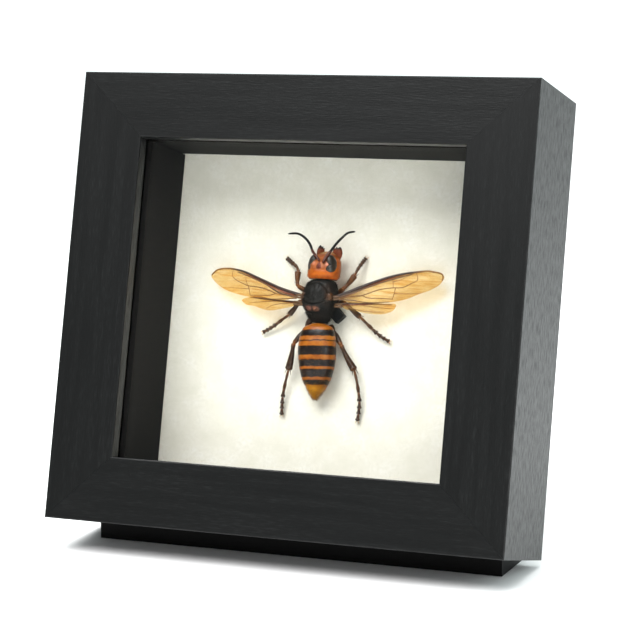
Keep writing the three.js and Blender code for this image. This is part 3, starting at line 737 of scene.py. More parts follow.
# %% Notched eyes
# Clear cornea over dark pigment: near black, with a brownish bloom and a soft sheen off the facets.
eye_gloss, tree, shader = new_material("compound_eye_cornea", Roughness=0.36, IOR=1.5)
facets = textured(tree, "ShaderNodeTexVoronoi", (6.5, 6.5, 6.5))
bloom = textured(tree, "ShaderNodeTexNoise", (0.9, 0.9, 0.9), Detail=2.0)
tone = add(tree, "ShaderNodeValToRGB", {"Fac": bloom},
           [(0.3, "#15100a"), (0.55, "#241c13"), (0.8, "#3a2c1e")])
finish_surface(tree, shader, tone, facets, 0.02, 0.5)


def notched_eye(centre, side, tilt, turn, radii, notch, rows=40, columns=96):
    # The outline is an oval with a dent of 58% towards the notch.
    angle = np.linspace(0, 2 * np.pi, columns, endpoint=False)
    away = np.angle(np.exp(1j * (angle - notch)))
    outline = 1 - 0.58 * np.exp(-(away / 0.42) ** 2)
    reach = np.linspace(0.02, 1, rows) ** 0.8
    a = radii[0] * reach[:, None] * outline * np.cos(angle)
    b = radii[1] * reach[:, None] * outline * np.sin(angle)
    c = radii[2] * np.sqrt(np.clip(1 - reach ** 2, 0, 1))[:, None] * np.ones(columns)
    c = c * (0.9 + 0.1 * outline)
    turned_a = a * math.cos(side * turn) - b * math.sin(side * turn)
    turned_b = a * math.sin(side * turn) + b * math.cos(side * turn)
    grid = np.empty((rows, columns, 3))
    grid[..., 0] = centre[0] + turned_a * math.cos(side * tilt) + c * math.sin(side * tilt)
    grid[..., 1] = centre[1] + turned_b
    grid[..., 2] = centre[2] - turned_a * math.sin(side * tilt) + c * math.cos(side * tilt)
    under = grid[-1] - np.array([math.sin(side * tilt), 0, math.cos(side * tilt)]) * 0.6
    return close_ends(np.concatenate([grid, under[None]]))


# Each eye: its centre, side, tilt, the way of its notch, and its three radii in mm.
EYES = {"eye_left": ((-1.72, 12.75, 7.2), -1, 0.9, 0.12, (1.75, 2.85, 1.35)),
        "eye_right": ((3.42, 12.75, 7.9), 1, 0.62, 2.92, (1.85, 2.9, 1.3))}
for eye_name, (centre, side, tilt, notch, radii) in EYES.items():
    dome = notched_eye(centre, side, tilt, 0.1, radii, notch)
    make_piece("compound_" + eye_name, dome, [eye_gloss], [eye_name])

# %% Three simple eyes on the crown
# Smooth lenses: dark red-brown beads, glossier than the chitin round them.
amber_lens = mottled_finish("brown_simple_lens", (3.0, 3.0, 3.0),
                            [(0.3, "#4a160a"), (0.7, "#6e2712")], Roughness=0.3, IOR=1.5)
LENS_RADII = (0.23, 0.23, 0.16)
lenses = []
for x, y in ((0.2, 12.1), (1.08, 12.15), (0.66, 12.95)):
    miss = np.abs(head_grid[..., 0] - x) + np.abs(head_grid[..., 1] - y) - 0.5 * head_grid[..., 2]
    near = np.unravel_index(np.argmin(miss), head_grid.shape[:2])
    seat = head_grid[near][2] - 0.05
    lenses.append(notched_eye((x, y, seat), 1, 0.0, 0.0, LENS_RADII, 0.0, 10, 24))
make_piece("simple_eyes", join(lenses), [amber_lens])

# %% [markdown]
# ## Jaws
# Each jaw is a broad, slightly curved blade with blunt teeth, dark red at its root and black at its
# biting edge. The outline is filled with rings that rise towards the middle, so that the blade is
# thick in its centre and thin at its teeth.

# %% Toothed jaws
# Hard tanned chitin: dark red where it is thin, black at the biting edge, with a low gloss.
jaw_chitin, tree, shader = new_material("dark_red_chitin", Roughness=0.42, IOR=1.5,
                                        Specular_IOR_Level=0.2)
axes = add(tree, "ShaderNodeSeparateXYZ", {"Vector": card_ruler(tree)})
pits = textured(tree, "ShaderNodeTexNoise", (3.5, 3.5, 3.5), Detail=3.0)
root_tone = add(tree, "ShaderNodeValToRGB", {"Fac": pits}, [(0.3, "#5e240c"), (0.7, "#843a14")])
tone = paint_between(tree, root_tone, "#1b1310", axes.outputs["Y"], 17.0, 18.0)
finish_surface(tree, shader, tone, pits, 0.06, 0.7)
# The outline of a blade one unit wide and long, from its root round its teeth.
BLADE = [(-.5, 0), (-.57, .2), (-.58, .4), (-.55, .6), (-.42, .8), (-.3, .92), (-.12, 1.0),
         (-.02, .94), (.1, .86), (.17, .92), (.24, .94), (.28, .86), (.3, .76), (.38, .8),
         (.47, .8), (.48, .6), (.46, .35), (.4, 0), (.0, -.03)]


def toothed_jaw(place, wide, long, lean, swing, side):
    closed = np.array(BLADE + BLADE[:1])
    fine = smooth_values(np.arange(len(closed)), closed, np.linspace(0, len(closed) - 1, 91)[:-1])
    fine = fine * (wide, long)
    middle = np.array([-0.03 * wide, 0.42 * long])
    mirror_x = -side if side > 0 else 1
    sheets = []
    for face in (1, -1):
        for scale in np.linspace(1, 0.06, 9) if face > 0 else np.linspace(0.06, 1, 9):
            ring = middle + (fine - middle) * scale
            swell = face * 0.56 * (1 - scale ** 3) ** 0.6 + (0.04 if face > 0 else -0.04)
            curl = 0.12 * (ring[:, 1] / long) ** 2
            sheets.append(np.column_stack([ring[:, 0] * mirror_x, ring[:, 1],
                                           np.full(len(ring), swell) - curl]))
    x, y, z = np.moveaxis(np.stack(sheets), -1, 0)
    x, z = x * math.cos(lean) + z * math.sin(lean), -x * math.sin(lean) + z * math.cos(lean)
    x, y = x * math.cos(swing) - y * math.sin(swing), x * math.sin(swing) + y * math.cos(swing)
    moved = np.stack([x + place[0], y + place[1], z + place[2]], axis=-1)
    return close_ends(moved)


# Each jaw: its root, width and length in mm, its lean and swing in radians, its side.
JAWS = {"mandible_left": ((-.95, 15.05, 4.45), 2.0, 3.5, .7, -.02, -1),
        "mandible_right": ((3.35, 14.9, 4.6), 3.0, 3.5, -.2, -.22, 1)}
for jaw_name, facts in JAWS.items():
    make_piece("toothed_" + jaw_name, toothed_jaw(*facts), [jaw_chitin], [jaw_name])

# %% [markdown]
# ## Feelers
# Each feeler has a long first joint, a short elbow joint and ten short joints after it. One tube
# follows the bent curve, and its radius dips at each joint. The first joint is dark red and shiny,
# the rest is matt black.

# %% Jointed feelers
# The first joint is polished maroon chitin. The whip is covered in sensing pits, so it is dull.
scape_chitin = mottled_finish(
    "maroon_chitin_glossy", (2.0, 2.0, 2.0), [(0.3, "#38130a"), (0.7, "#5a2410")],
    Roughness=0.32, IOR=1.55, Specular_IOR_Level=0.3)
whip_chitin = mottled_finish(
    "black_chitin_matt", (5.0, 5.0, 5.0), [(0.3, "#0a0806"), (0.7, "#16120e")],
    relief=(0.03, 0.6), Roughness=0.5, IOR=1.55, Specular_IOR_Level=0.2)
FEELERS = {
    "antenna_left": [(.6, 13.9, 9.2), (-.5, 15.1, 9), (-1.75, 16.3, 8.4), (-2.9, 18.1, 7.7),
                     (-4.75, 19.9, 6.9), (-7.3, 21.15, 6.1), (-10.4, 21.15, 5.2)],
    "antenna_right": [(1.75, 13.4, 9.35), (2.6, 15.1, 9), (3.6, 16.9, 8.4), (4.5, 18.6, 7.8),
                      (5.75, 20.4, 7.1), (7.1, 21.9, 6.3), (8.7, 22.4, 5.6)]}
FEELER_RINGS = 220
FEELER_SIDES = 14
SHARES = [0, .03, .1, .26, .28, .33, .6, .92, 1]
RADII = [.24, .34, .34, .4, .32, .38, .36, .3, .2]
JOINTS = np.concatenate([[0.27, 0.33], 0.33 + 0.67 * np.arange(1, 10) / 10])
t = np.linspace(0, 1, FEELER_RINGS)
for feeler_name, route in FEELERS.items():
    radius = np.interp(t, SHARES, RADII)
    if feeler_name == "antenna_right":
        # Its first joint is turned, and shows its broad side.
        radius = radius * np.interp(t, [0, .05, .28, .32], [1.1, 1.25, 1.2, 1.0])
    for joint in JOINTS:
        radius = radius * (1 - 0.2 * np.exp(-((t - joint) / 0.0055) ** 2))
    points, faces = tube(curve_through(route, FEELER_RINGS), radius, FEELER_SIDES)
    first = int(0.29 * FEELER_RINGS) * FEELER_SIDES
    kinds = [0 if max(face) < first else 1 for face in faces]
    make_piece("jointed_" + feeler_name, (points, faces), [scape_chitin, whip_chitin],
               [feeler_name], slots=kinds)

# %% [markdown]
# ## The middle body
# The middle body carries the wings and legs. It is blackish brown under a short down, with seams
# between its plates: the collar in front, the big shield in the middle, the small shield behind
# with its rusty spots, and the slope down to the waist. Plates could be separate pieces, but they
# are grown together on the real one, so one skin with carved seams stands for the three CAD solids.
# Small brown blotches lie on the sides, most of them on the right.

# %% Blackish chitin with rusty spots
# Chitin under a felt of short down: the down takes the gloss and leaves a grey-brown haze.
dark_chitin, tree, shader = new_material("blackish_chitin_downy", Roughness=0.52, IOR=1.52,
                                         Specular_IOR_Level=0.3)
cloud = textured(tree, "ShaderNodeTexNoise", (0.7, 0.7, 0.7), Detail=4.0)
pits = textured(tree, "ShaderNodeTexNoise", (4.0, 4.0, 4.0), Detail=3.0)
tone = add(tree, "ShaderNodeValToRGB", {"Fac": cloud},
           [(0.3, "#0e0c09"), (0.55, "#171410"), (0.8, "#241e18")])
BODY_SPOTS = [((-1.8, 0.95, 8.6), 0.7, 0.35, "#83503f"), ((-1.2, 1.05, 8.8), 0.75, 0.35, "#9c6250"),
              ((0.4, 1.05, 8.9), 0.75, 0.35, "#9a6248"), ((1.0, 1.0, 8.8), 0.7, 0.35, "#8a553c"),
              ((-0.9, -0.9, 7.5), 0.7, 0.5, "#3d2a1a"), ((3.3, 6.3, 8.4), 1.3, 0.8, "#33241a"),
              ((3.9, 4.5, 8.6), 1.1, 0.5, "#4f3220"), ((3.2, 2.6, 8.2), 0.9, 0.6, "#33241a"),
              ((-3.0, 4.6, 8.4), 0.8, 0.4, "#3a241a"), ((0.6, -1.2, 7.6), 1.3, 0.7, "#2b2018")]
tone = paint_spots(tree, tone, BODY_SPOTS)
finish_surface(tree, shader, tone, pits, 0.09, 0.8)
print("the middle body's chitin has", len(BODY_SPOTS), "spots")

# %% Sculpting the middle body
TRUNK = [[8.95, 1.05, 6.1, 2.5, 1.9, 1.9], [8.4, 1.0, 6.15, 3.35, 2.6, 2.5],
         [7.2, .8, 6.1, 4.1, 3.2, 2.9], [5.4, .55, 6.1, 4.6, 3.55, 3.2],
         [3.4, .5, 6.1, 4.6, 3.65, 3.3], [1.8, .5, 6.0, 4.2, 3.4, 3.2],
         [.4, .6, 5.9, 3.5, 2.9, 3.0], [-1, .75, 5.8, 2.65, 2.2, 2.6],
         [-2.3, .75, 5.6, 1.8, 1.2, 1.5]]
TRUNK_ROLL = 0.75


def trunk_relief(side, y, top):
    # The body is rolled a little on the card, so its seams lie left of its middle.
    side = side + TRUNK_ROLL
    depth = np.zeros_like(side)
    rear_seam = y - (2.15 + 0.10 * side ** 2)
    depth -= 0.34 * np.exp(-(rear_seam / 0.2) ** 2) * (np.abs(side) < 3.4)
    collar = y - (8.05 - 0.17 * side ** 2)
    depth -= 0.30 * np.exp(-(collar / 0.24) ** 2) * (y > 5.0)
    depth += 0.10 * bell(side, y, 0, 5.2, 2.9, 2.4)
    for line in (0.0, -1.15, 1.15):
        depth -= 0.12 * np.exp(-((side - line) / 0.14) ** 2) * ((y > 3.2) & (y < 7.4))
    depth += 0.06 * np.sin(side * 2.3 + 1.0) * np.sin(y * 1.9) * (y > 2.6)
    depth += 0.28 * bell(side, y, -1.2, 1.0, 1.0, 0.75)
    depth += 0.28 * bell(side, y, 1.2, 1.0, 1.0, 0.75)
    depth -= 0.14 * bell(side, y, 0, 1.1, 0.12, 0.8)
    small_seam = y - (0.12 + 0.08 * side ** 2)
    depth -= 0.26 * np.exp(-(small_seam / 0.16) ** 2) * (np.abs(side) < 3.0)
    depth += 0.12 * bell(side, y, 0, -0.2, 2.4, 0.22)
    depth -= 0.20 * bell(side, y, 0, -1.4, 0.22, 0.8)
    flank = np.exp(-((np.abs(side) - 3.7) / 0.2) ** 2)
    depth -= 0.18 * flank * ((y > 2.4) & (y < 6.4))
    return depth * top


trunk_grid = shell(TRUNK, (-2.3, 8.95), 150, 170, trunk_relief)
trunk = close_ends(trunk_grid, tail=[(0.9, -0.15), (0.6, -0.25)],
                   nose=[(0.92, 0.12), (0.7, 0.2), (0.4, 0.24)])
neck = tube(curve_through([(1.0, 8.4, 6.1), (1.0, 9.1, 6.1), (1.0, 9.8, 6.1)], 12), 1.2, 20)
waist = tube(curve_through([(.6, -1.9, 5.6), (.62, -2.6, 5.7), (.64, -3.4, 5.8)], 12), 0.75, 20)
make_piece("middle_body", join([trunk, neck, waist]), [dark_chitin],
           ["thorax_front", "thorax_middle", "thorax_rear", "neck", "waist"])

# %% [markdown]
# ## The shell of the legs
# The legs are dark brown and turn rusty at each joint, where the shell is thin. The colour can't
# follow the card's ruler, because every leg bends its own way. So each point carries a mark that
# says how rusty it is, and one material serves all legs. The small scales that cover the wing roots
# have the same shell, and come first.

# %% Brown chitin with rusty joints
# Smooth satin chitin: dark as varnish on the thick parts, amber-brown where it is thin.
leg_chitin, tree, shader = new_material("brown_chitin_rusty_joints", Roughness=0.34, IOR=1.55,
                                        Specular_IOR_Level=0.3)
cloud = textured(tree, "ShaderNodeTexNoise", (1.0, 1.0, 1.0), Detail=3.0)
dark_leg = add(tree, "ShaderNodeValToRGB", {"Fac": cloud},
               [(0.3, "#110a05"), (0.6, "#1b1108"), (0.8, "#2a1b0c")])
rust = add(tree, "ShaderNodeValToRGB", {"Fac": cloud}, [(0.3, "#64330f"), (0.7, "#8a531b")])
rusty = add(tree, "ShaderNodeAttribute", attribute_name="rusty")
tone = add(tree, "ShaderNodeMix",
           {"Factor": rusty.outputs["Fac"], COLOUR_A: dark_leg, COLOUR_B: rust}, data_type="RGBA")
finish_surface(tree, shader, tone, cloud, 0.08, 0.6)
print("legs wear", leg_chitin.name)

# %% Scales over the wing roots
scales = []
for side in (-1, 1):
    centre = (0.52 + side * 3.85, 4.45, 8.35)
    scales.append(notched_eye(centre, side, 0.75, 0.15, (0.85, 1.05, 0.5), 0.0, 16, 40))
scale_shape = join(scales)
make_piece("wing_root_scales", scale_shape, [leg_chitin],
           marks={"rusty": np.full(len(scale_shape[0]), 0.3)})

# %% [markdown]
# ## The banded abdomen
# Six rings overlap like the plates of a shrimp, each with its hind edge a little proud of the next.
# Bands of orange and blackish brown lie across them, and the last ring is golden. One thin dark
# line where the first ring overhangs the second is painted shadow. A painted map could hold them,
# but
# numbers stay sharp: each dark band is painted between its rear and its front, as measured in mm
# along the middle of the back. A slow noise bends the lines, since real bands are never ruled, and
# a small skew turns bands and rings as the specimen's abdomen is turned.

# %% Orange and blackish bands
# Waxy chitin with the colour in the shell: soft-edged bands under one even satin shine.
band_chitin, tree, shader = new_material(
    "banded_chitin_satin", Roughness=0.34, IOR=1.55, Specular_IOR_Level=0.25,
    Subsurface_Weight=0.08, Subsurface_Scale=0.0005)
SKEW = 0.06
# The bands are the shell's own colour, except the thin one from -7.55 to -7.25: painted shadow
# under the first ring's hind edge.
DARK_BANDS_AND_SHADOW_LINE = [(-6.2, -4.55), (-7.55, -7.25), (-11.25, -8.85), (-14.3, -12.5), (-17.1, -15.0),
              (-19.05, -17.85)]
axes = add(tree, "ShaderNodeSeparateXYZ", {"Vector": card_ruler(tree)})
wander = textured(tree, "ShaderNodeTexNoise", (0.9, 0.5, 0.9), Detail=3.0)
shift = add(tree, "ShaderNodeMapRange", {"Value": wander, "To Min": -0.28, "To Max": 0.28})
bent = add(tree, "ShaderNodeMath", {0: axes.outputs["Y"], 1: shift}, operation="ADD")
line = add(tree, "ShaderNodeMath", {0: axes.outputs["X"], 1: -SKEW, 2: bent},
           operation="MULTIPLY_ADD")
pits = textured(tree, "ShaderNodeTexNoise", (4.5, 4.5, 4.5), Detail=3.0)
cloud = textured(tree, "ShaderNodeTexNoise", (0.6, 0.6, 0.6), Detail=3.0)
orange = add(tree, "ShaderNodeValToRGB", {"Fac": cloud},
             [(0.3, "#8b470a"), (0.55, "#a05a11"), (0.8, "#ac691c")])
dark = add(tree, "ShaderNodeValToRGB", {"Fac": cloud}, [(0.3, "#0d0706"), (0.7, "#1a0e0a")])
golden = add(tree, "ShaderNodeValToRGB", {"Fac": cloud}, [(0.3, "#ba7208"), (0.7, "#d89414")])
tone = paint_between(tree, orange, golden, axes.outputs["Y"], -18.9, -20.2)
for rear, front in DARK_BANDS_AND_SHADOW_LINE:
    behind_front = paint_between(tree, tone, dark, line, front + 0.1, front - 0.1)
    tone = paint_between(tree, tone, behind_front, line, rear - 0.16, rear + 0.16)
finish_surface(tree, shader, tone, pits, 0.05, 0.6)
print(len(DARK_BANDS_AND_SHADOW_LINE), "dark bands")

# %% Six overlapping rings
ABDOMEN = [[-2.95, .65, 5.9, 2.2, 1.6, 1.3], [-3.5, .68, 6, 3.5, 2.4, 2.2],
           [-4.6, .72, 6, 4.4, 2.9, 2.6], [-6.6, .78, 5.9, 5, 3.25, 2.7],
           [-8.8, .82, 5.8, 5.25, 3.45, 2.9], [-12.4, .98, 5.5, 5.1, 3.4, 3],
           [-15.1, 1, 5.1, 4.65, 3.2, 2.8], [-17.8, .95, 4.6, 3.8, 2.8, 2.4],
           [-20.2, .8, 4.1, 2.4, 1.9, 1.7], [-21.9, .6, 3.7, 1.15, 1, .9],
           [-22.9, .5, 3.4, .35, .3, .3]]
RING_ENDS = [-2.95, -7.4, -12.37, -15.1, -17.8, -20.2, -22.9]
OVERLAP = 0.5
ring_grids = []
for n in range(6):
    front = RING_ENDS[n] + (OVERLAP if n else 0.0)
    rear = RING_ENDS[n + 1]

    def ring_relief(side, y, top, front=front, rear=rear, n=n):
        # The hind edge stands proud, and the front edge is tucked under the ring before.
        hind = np.exp(-np.clip(y - rear, 0, 9) / 0.35) * (0.10 if n < 5 else -0.12)
        tuck = 0.16 * np.clip(1 - (front - y) / 0.75, 0, 1) if n else 0.0
        wave = 0.03 * np.sin(side * 1.7 + n) * np.exp(-((y - rear - 0.9) / 0.8) ** 2)
        return hind - tuck + wave * top

    grid = shell(ABDOMEN, (rear, front), 44, 150, ring_relief)
    grid[..., 1] += SKEW * grid[..., 0]
    ring_grids.append(grid)
    tail = [(0.97, 0.02), (0.9, 0.25)] if n < 5 else [(0.5, -0.12)]
    nose = [(0.8, 0.22), (0.45, 0.3)] if n == 0 else [(0.9, 0.1)]
    make_piece(f"abdomen_ring_{n + 1}", close_ends(grid, tail=tail, nose=nose), [band_chitin],
               [f"abdomen_{n + 1}"])

# %% [markdown]
# ## Legs
# A leg has a thick hip joint, a spindle-shaped thigh, a shin that widens to its spurs, a foot of
# five joints and two pale claws. One long tube would look like wire. So every joint is its own tube
# with its own radius along its length, and the gaps and swellings come at the right places. Each
# leg's list gives its hip, bend, knee and ankle, three points along its foot, the hip's radius and
# the shin's.

# %% Pale horn of the claws
# Thin horn without pigment: light passes in, so the claws look pale and a little milky.
claw_horn = mottled_finish(
    "pale_claw_horn", (2.0, 2.0, 2.0), [(0.3, "#b98d5c"), (0.7, "#d9bc8e")],
    Roughness=0.3, IOR=1.55, Subsurface_Weight=0.4, Subsurface_Scale=0.0004)
print("claws wear", claw_horn.name)

# %% Where the legs bend
LEGS = {
    "fore_left": ((-1.6, 6.6, 2.6), (-3.9, 5.6, 2.9), (-6.9, 7.3, 4.2), (-7.5, 11.2, 3.3),
                  [(-8.3, 12.6, 2.6), (-9.9, 13.6, 1.8), (-11.9, 14.9, .95)], .75, .62),
    "fore_right": ((2.6, 6.6, 2.6), (4.3, 5.9, 2.9), (6.5, 7.3, 4.2), (8.9, 10.9, 3.4),
                   [(9.2, 12.3, 2.9), (9.8, 13.9, 2.1), (10.7, 15.9, .95)], .75, .62),
    "middle_left": ((-2.3, 3, 2.5), (-3.5, 3.2, 2.7), (-5.9, 3.4, 4), (-9, -.5, 3.2),
                    [(-11, -1.7, 2.5), (-14.2, -3.9, 1.6), (-17.1, -5.5, .95)], .75, .66),
    "middle_right": ((3.9, 3.7, 2.6), (5, 3.6, 2.8), (7.3, 3.2, 4.2), (11.3, -.1, 3.3),
                     [(13.6, -2.1, 2.6), (16.6, -4.6, 1.6), (19.2, -6, .95)], .75, .66),
    "hind_left": ((-2.9, -1.6, 3.1), (-4.2, -4.4, 2.6), (-6.9, -8.2, 3.6), (-7.95, -15.4, 3.1),
                  [(-8.9, -19.1, 2.3), (-9.6, -23.4, 1.5), (-9.7, -27.4, .95)], .8, .82),
    "hind_right": ((2.9, -2.9, 2.9), (4.2, -4.6, 2.5), (6.7, -7.9, 3.6), (10.9, -14.4, 3.1),
                   [(11.8, -18.2, 2.3), (12.5, -23.2, 1.5), (12.1, -27.6, .95)], .8, .82)}
print(len(LEGS), "legs")

# %% Tapered limbs and their rusty marks
LEG_SIDES = 14


def tapering(points, places, radii, rings, sides=LEG_SIDES, flat=1.0):
    line = curve_through(points, rings)
    t = np.linspace(0, 1, rings)
    widths = smooth_values(places, np.asarray(radii)[:, None], t)[:, 0]
    return tube(line, widths, sides, flat), line, t


def rusty_marks(t, joints, sides, base):
    # A joint is its place along the limb, the reach of its rust and its strength.
    near = np.zeros(len(t))
    for place, reach, strength in joints:
        near = np.maximum(near, strength * np.exp(-((t - place) / reach) ** 2))
    near = np.clip(near + base, 0, 1)
    return np.concatenate([np.repeat(near, sides), near[:1], near[-1:]])


trial = rusty_marks(np.linspace(0, 1, 5), [(1, .3, .5)], 1, 0.14)
print("rust from the bend of a limb to its joint:", np.round(trial[:5], 2))

# %% Bristles along a limb
MAP_ROWS = 14
bristle_roots = []
bristle_leans = []
bristle_maps = []


def plant_bristles(line, radius, count, number, span):
    # The roots are kept for later, with a row of the bake map for each limb.
    pick = np.random.default_rng(100 + number)
    t = pick.uniform(0.08, 0.98, count) * (len(line) - 1)
    i = t.astype(int)
    ahead = unit(np.gradient(line, axis=0))[i]
    right = unit(np.cross(ahead, (0.0, 0.0, 1.0)))
    over = np.cross(right, ahead)
    turn = pick.uniform(0, 2 * np.pi, count)
    out = np.cos(turn)[:, None] * right + np.sin(turn)[:, None] * over
    bristle_roots.append(line[i] + out * radius * 0.92)
    bristle_leans.append(out * 0.6 + ahead * 0.8)
    band = span[0] + (span[1] - span[0]) * t / len(line)
    bristle_maps.append(np.stack([band, (number + turn / (2 * np.pi)) / MAP_ROWS], axis=1))


print("bristles have a map of", MAP_ROWS, "rows")

# %% Hip, thigh and shin


def build_thigh(leg_name, hip, bend, knee, thick, rust):
    hip_end = hip + (bend - hip) * 0.8
    hip_joint, _, t1 = tapering([hip, (hip + hip_end) / 2, hip_end], [0, .4, .85, 1],
                                np.array([1, 1.05, .75, .5]) * thick, 16)
    small_joint, _, t2 = tapering([hip_end, bend, bend + (knee - bend) * .08], [0, .5, 1],
                                  np.array([.5, .62, .45]) * thick, 12)
    arch = (bend + knee) / 2 + np.array([0, 0, .12])
    thigh, _, t3 = tapering([bend, arch, knee], [0, .08, .4, .8, .95, 1],
                            np.array([.5, .68, .95, .8, .66, .4]) * thick, 30)
    marks = [rusty_marks(t1, [(1, .3, .5)], LEG_SIDES, rust), rusty_marks(t2, [], LEG_SIDES, rust),
             rusty_marks(t3, [(1, .16, 1.0), (0, .1, .5)], LEG_SIDES, rust)]
    make_piece(f"thigh_{leg_name}", join([hip_joint, small_joint, thigh]), [leg_chitin],
               [f"leg_{leg_name}_haunch"], marks={"rusty": np.concatenate(marks)})


def build_shin(leg_name, knee, ankle, toe, wide, rust):
    lean = unit((ankle - knee)[None])[0]
    bow = np.array([lean[1], -lean[0], 0]) * 0.12 * np.sign(knee[0])
    shin, path, t = tapering([knee - lean * 0.1, knee + (ankle - knee) * .45 + bow, ankle],
                             [0, .05, .15, .5, .85, .97, 1],
                             np.array([.45, .68, .6, .82, 1.02, .95, .6]) * wide, 36)
    shapes = [shin]
    marks = [rusty_marks(t, [(0, .09, 1.0), (1, .05, .5)], LEG_SIDES, rust)]
    foot_way = unit((toe - ankle)[None])[0]
    across = np.array([foot_way[1], -foot_way[0], 0])
    spur_length = 1.5 if leg_name.startswith("hind") else 1.0
    for side in (-1, 1):
        start = ankle + across * side * wide * 0.55 - foot_way * 0.1
        end = start + foot_way * spur_length * 0.85 + across * side * 0.42 - np.array([0, 0, .1])
        spur, _, t = tapering([start, (start + end) / 2, end], [0, .3, 1], [.13, .12, .03], 8, 8)
        shapes.append(spur)
        marks.append(rusty_marks(t, [], 8, 0.3))
    make_piece(f"shin_{leg_name}", join(shapes), [leg_chitin], [f"leg_{leg_name}_shin"],
               marks={"rusty": np.concatenate(marks)})
    return path


print("each leg has three hip and thigh tubes, a shin and two spurs")

# %% Five-jointed feet with spines and claws
WAY_POINTS = 120
TOE_SPLITS = [0, .44, .62, .76, .87, 1.0]


def build_foot(leg_name, way, rust):
    shapes = []
    marks = []
    kinds = []

    def keep(shape, mark, kind):
        shapes.append(shape)
        marks.append(mark)
        kinds.extend([kind] * len(shape[1]))

    for joint in range(5):
        first = int(TOE_SPLITS[joint] * (WAY_POINTS - 1))
        last = int(TOE_SPLITS[joint + 1] * (WAY_POINTS - 1))
        part = way[first:last + 1]
        wide = 0.52 if joint else 0.42
        toe, _, t = tapering(part[[0, len(part) // 2, -1]], [0, .1, .6, .92, 1],
                             [.24, .33, wide * .85, wide * 1.08, .26], 14, 12, 0.85)
        keep(toe, rusty_marks(t, [(0, .25, .5)], 12, 0.16 if joint else 0.3), 0)
        end_way = unit((part[-1] - part[-3])[None])[0]
        aside = np.array([end_way[1], -end_way[0], 0])
        for side in (-1, 1):
            if joint < 4:
                start = part[-1] + aside * side * wide * .8 - end_way * .25
                end = start + end_way * .4 + aside * side * .16
                spine, _, t = tapering([start, (start + end) / 2, end], [0, .5, 1],
                                       [.1, .08, .02], 5, 6)
                keep(spine, rusty_marks(t, [], 6, 0.1), 0)
            else:
                start = part[-1] + aside * side * .1
                mid = start + end_way * .35 + aside * side * .32 + np.array([0, 0, .05])
                end = start + end_way * .8 + aside * side * .42 - np.array([0, 0, .22])
                claw, _, t = tapering([start, mid, end], [0, .4, 1], [.13, .12, .03], 12, 8)
                keep(claw, rusty_marks(t, [], 8, rust), 1)
    make_piece(f"foot_{leg_name}", join(shapes), [leg_chitin, claw_horn],
               [f"leg_{leg_name}_foot"], slots=kinds, marks={"rusty": np.concatenate(marks)})


print("the way of a foot has", WAY_POINTS, "points, split at", TOE_SPLITS)

# %% Building the legs
for number, (leg_name, facts) in enumerate(LEGS.items()):
    hip, bend, knee, ankle = (np.array(p, float) for p in facts[:4])
    toes, thick, wide = facts[4:]
    fore = leg_name.startswith("fore")
    rust = 0.5 if fore else 0.14
    wide = wide * (1.28 if fore else 1.12)
    build_thigh(leg_name, hip, bend, knee, thick, rust)
    shin_path = build_shin(leg_name, knee, ankle, np.array(toes[0]), wide, rust)
    plant_bristles(shin_path, wide * 0.8, 90, number, (0, .5))
    way = curve_through([ankle, *toes], WAY_POINTS)
    build_foot(leg_name, way, rust)
    plant_bristles(way[:100], 0.3, 80, number + 6, (.5, 1))
print("roots for", sum(len(roots) for roots in bristle_roots), "bristles")

# %% [markdown]
# ## Wings
# A wing is a membrane of a few hundredths of a millimetre, clear and amber, on a net of brown
# veins. Its front edge is a strong dark vein with a rusty band behind it. The membrane here is one
# thin sheet cut to the outline, with shallow pleats between the veins. A plate with two skins would
# count each ray twice and turn murky. The shader lets most light through in amber, smokier in long
# streaks, and keeps a little scatter and gloss. The veins are flattened tubes that lie on it.

# %% Amber membrane and brown veins
# The membrane is clear amber film: it tints what lies behind it, and gleams a little.
membrane, tree, shader = new_material("amber_wing_membrane", Roughness=0.3, IOR=1.5)
cloud = textured(tree, "ShaderNodeTexNoise", (0.25, 0.6, 0.25), Detail=3.0)
streaks = textured(tree, "ShaderNodeTexNoise", (0.12, 1.9, 0.3), Detail=4.0, Roughness=0.6)
ribs = textured(tree, "ShaderNodeTexNoise", (0.5, 2.5, 0.5), Detail=2.0)
lead = add(tree, "ShaderNodeAttribute", attribute_name="lead").outputs["Fac"]
clear_tint = add(tree, "ShaderNodeValToRGB", {"Fac": cloud},
                 [(0.3, "#f2cd86"), (0.5, "#f8dda2"), (0.7, "#fdebc0")])
streaked = paint_between(tree, clear_tint, "#e8b260", streaks, 0.46, 0.72)
passing = add(tree, "ShaderNodeMix", {"Factor": lead, COLOUR_A: streaked, COLOUR_B: "#8e4416"},
              data_type="RGBA")
own = add(tree, "ShaderNodeMix", {"Factor": lead, COLOUR_A: "#cc9850", COLOUR_B: "#6e3212"},
          data_type="RGBA")
finish_surface(tree, shader, own, ribs, 0.06, 0.5)
letting = add(tree, "ShaderNodeBsdfTransparent", {"Color": passing})
density = add(tree, "ShaderNodeMapRange", {"Value": lead, "To Min": 0.17, "To Max": 0.6})
film = add(tree, "ShaderNodeMixShader", {0: density, 1: letting, 2: shader})
plug(tree, tree.nodes["Material Output"], {"Surface": film})
# The veins are the same chitin, thick enough to be opaque and brown.
vein_chitin, tree, shader = new_material("brown_vein_chitin", Roughness=0.5, IOR=1.5)
cloud = textured(tree, "ShaderNodeTexNoise", (1.2, 1.2, 1.2))
light_vein = add(tree, "ShaderNodeValToRGB", {"Fac": cloud}, [(0.3, "#8a5a20"), (0.7, "#a8742c")])
deep = add(tree, "ShaderNodeAttribute", attribute_name="deep").outputs["Fac"]
tone = add(tree, "ShaderNodeMix", {"Factor": deep, COLOUR_A: light_vein, COLOUR_B: "#2c170c"},
           data_type="RGBA")
finish_surface(tree, shader, tone)
print("wing finishes:", membrane.name, vein_chitin.name)

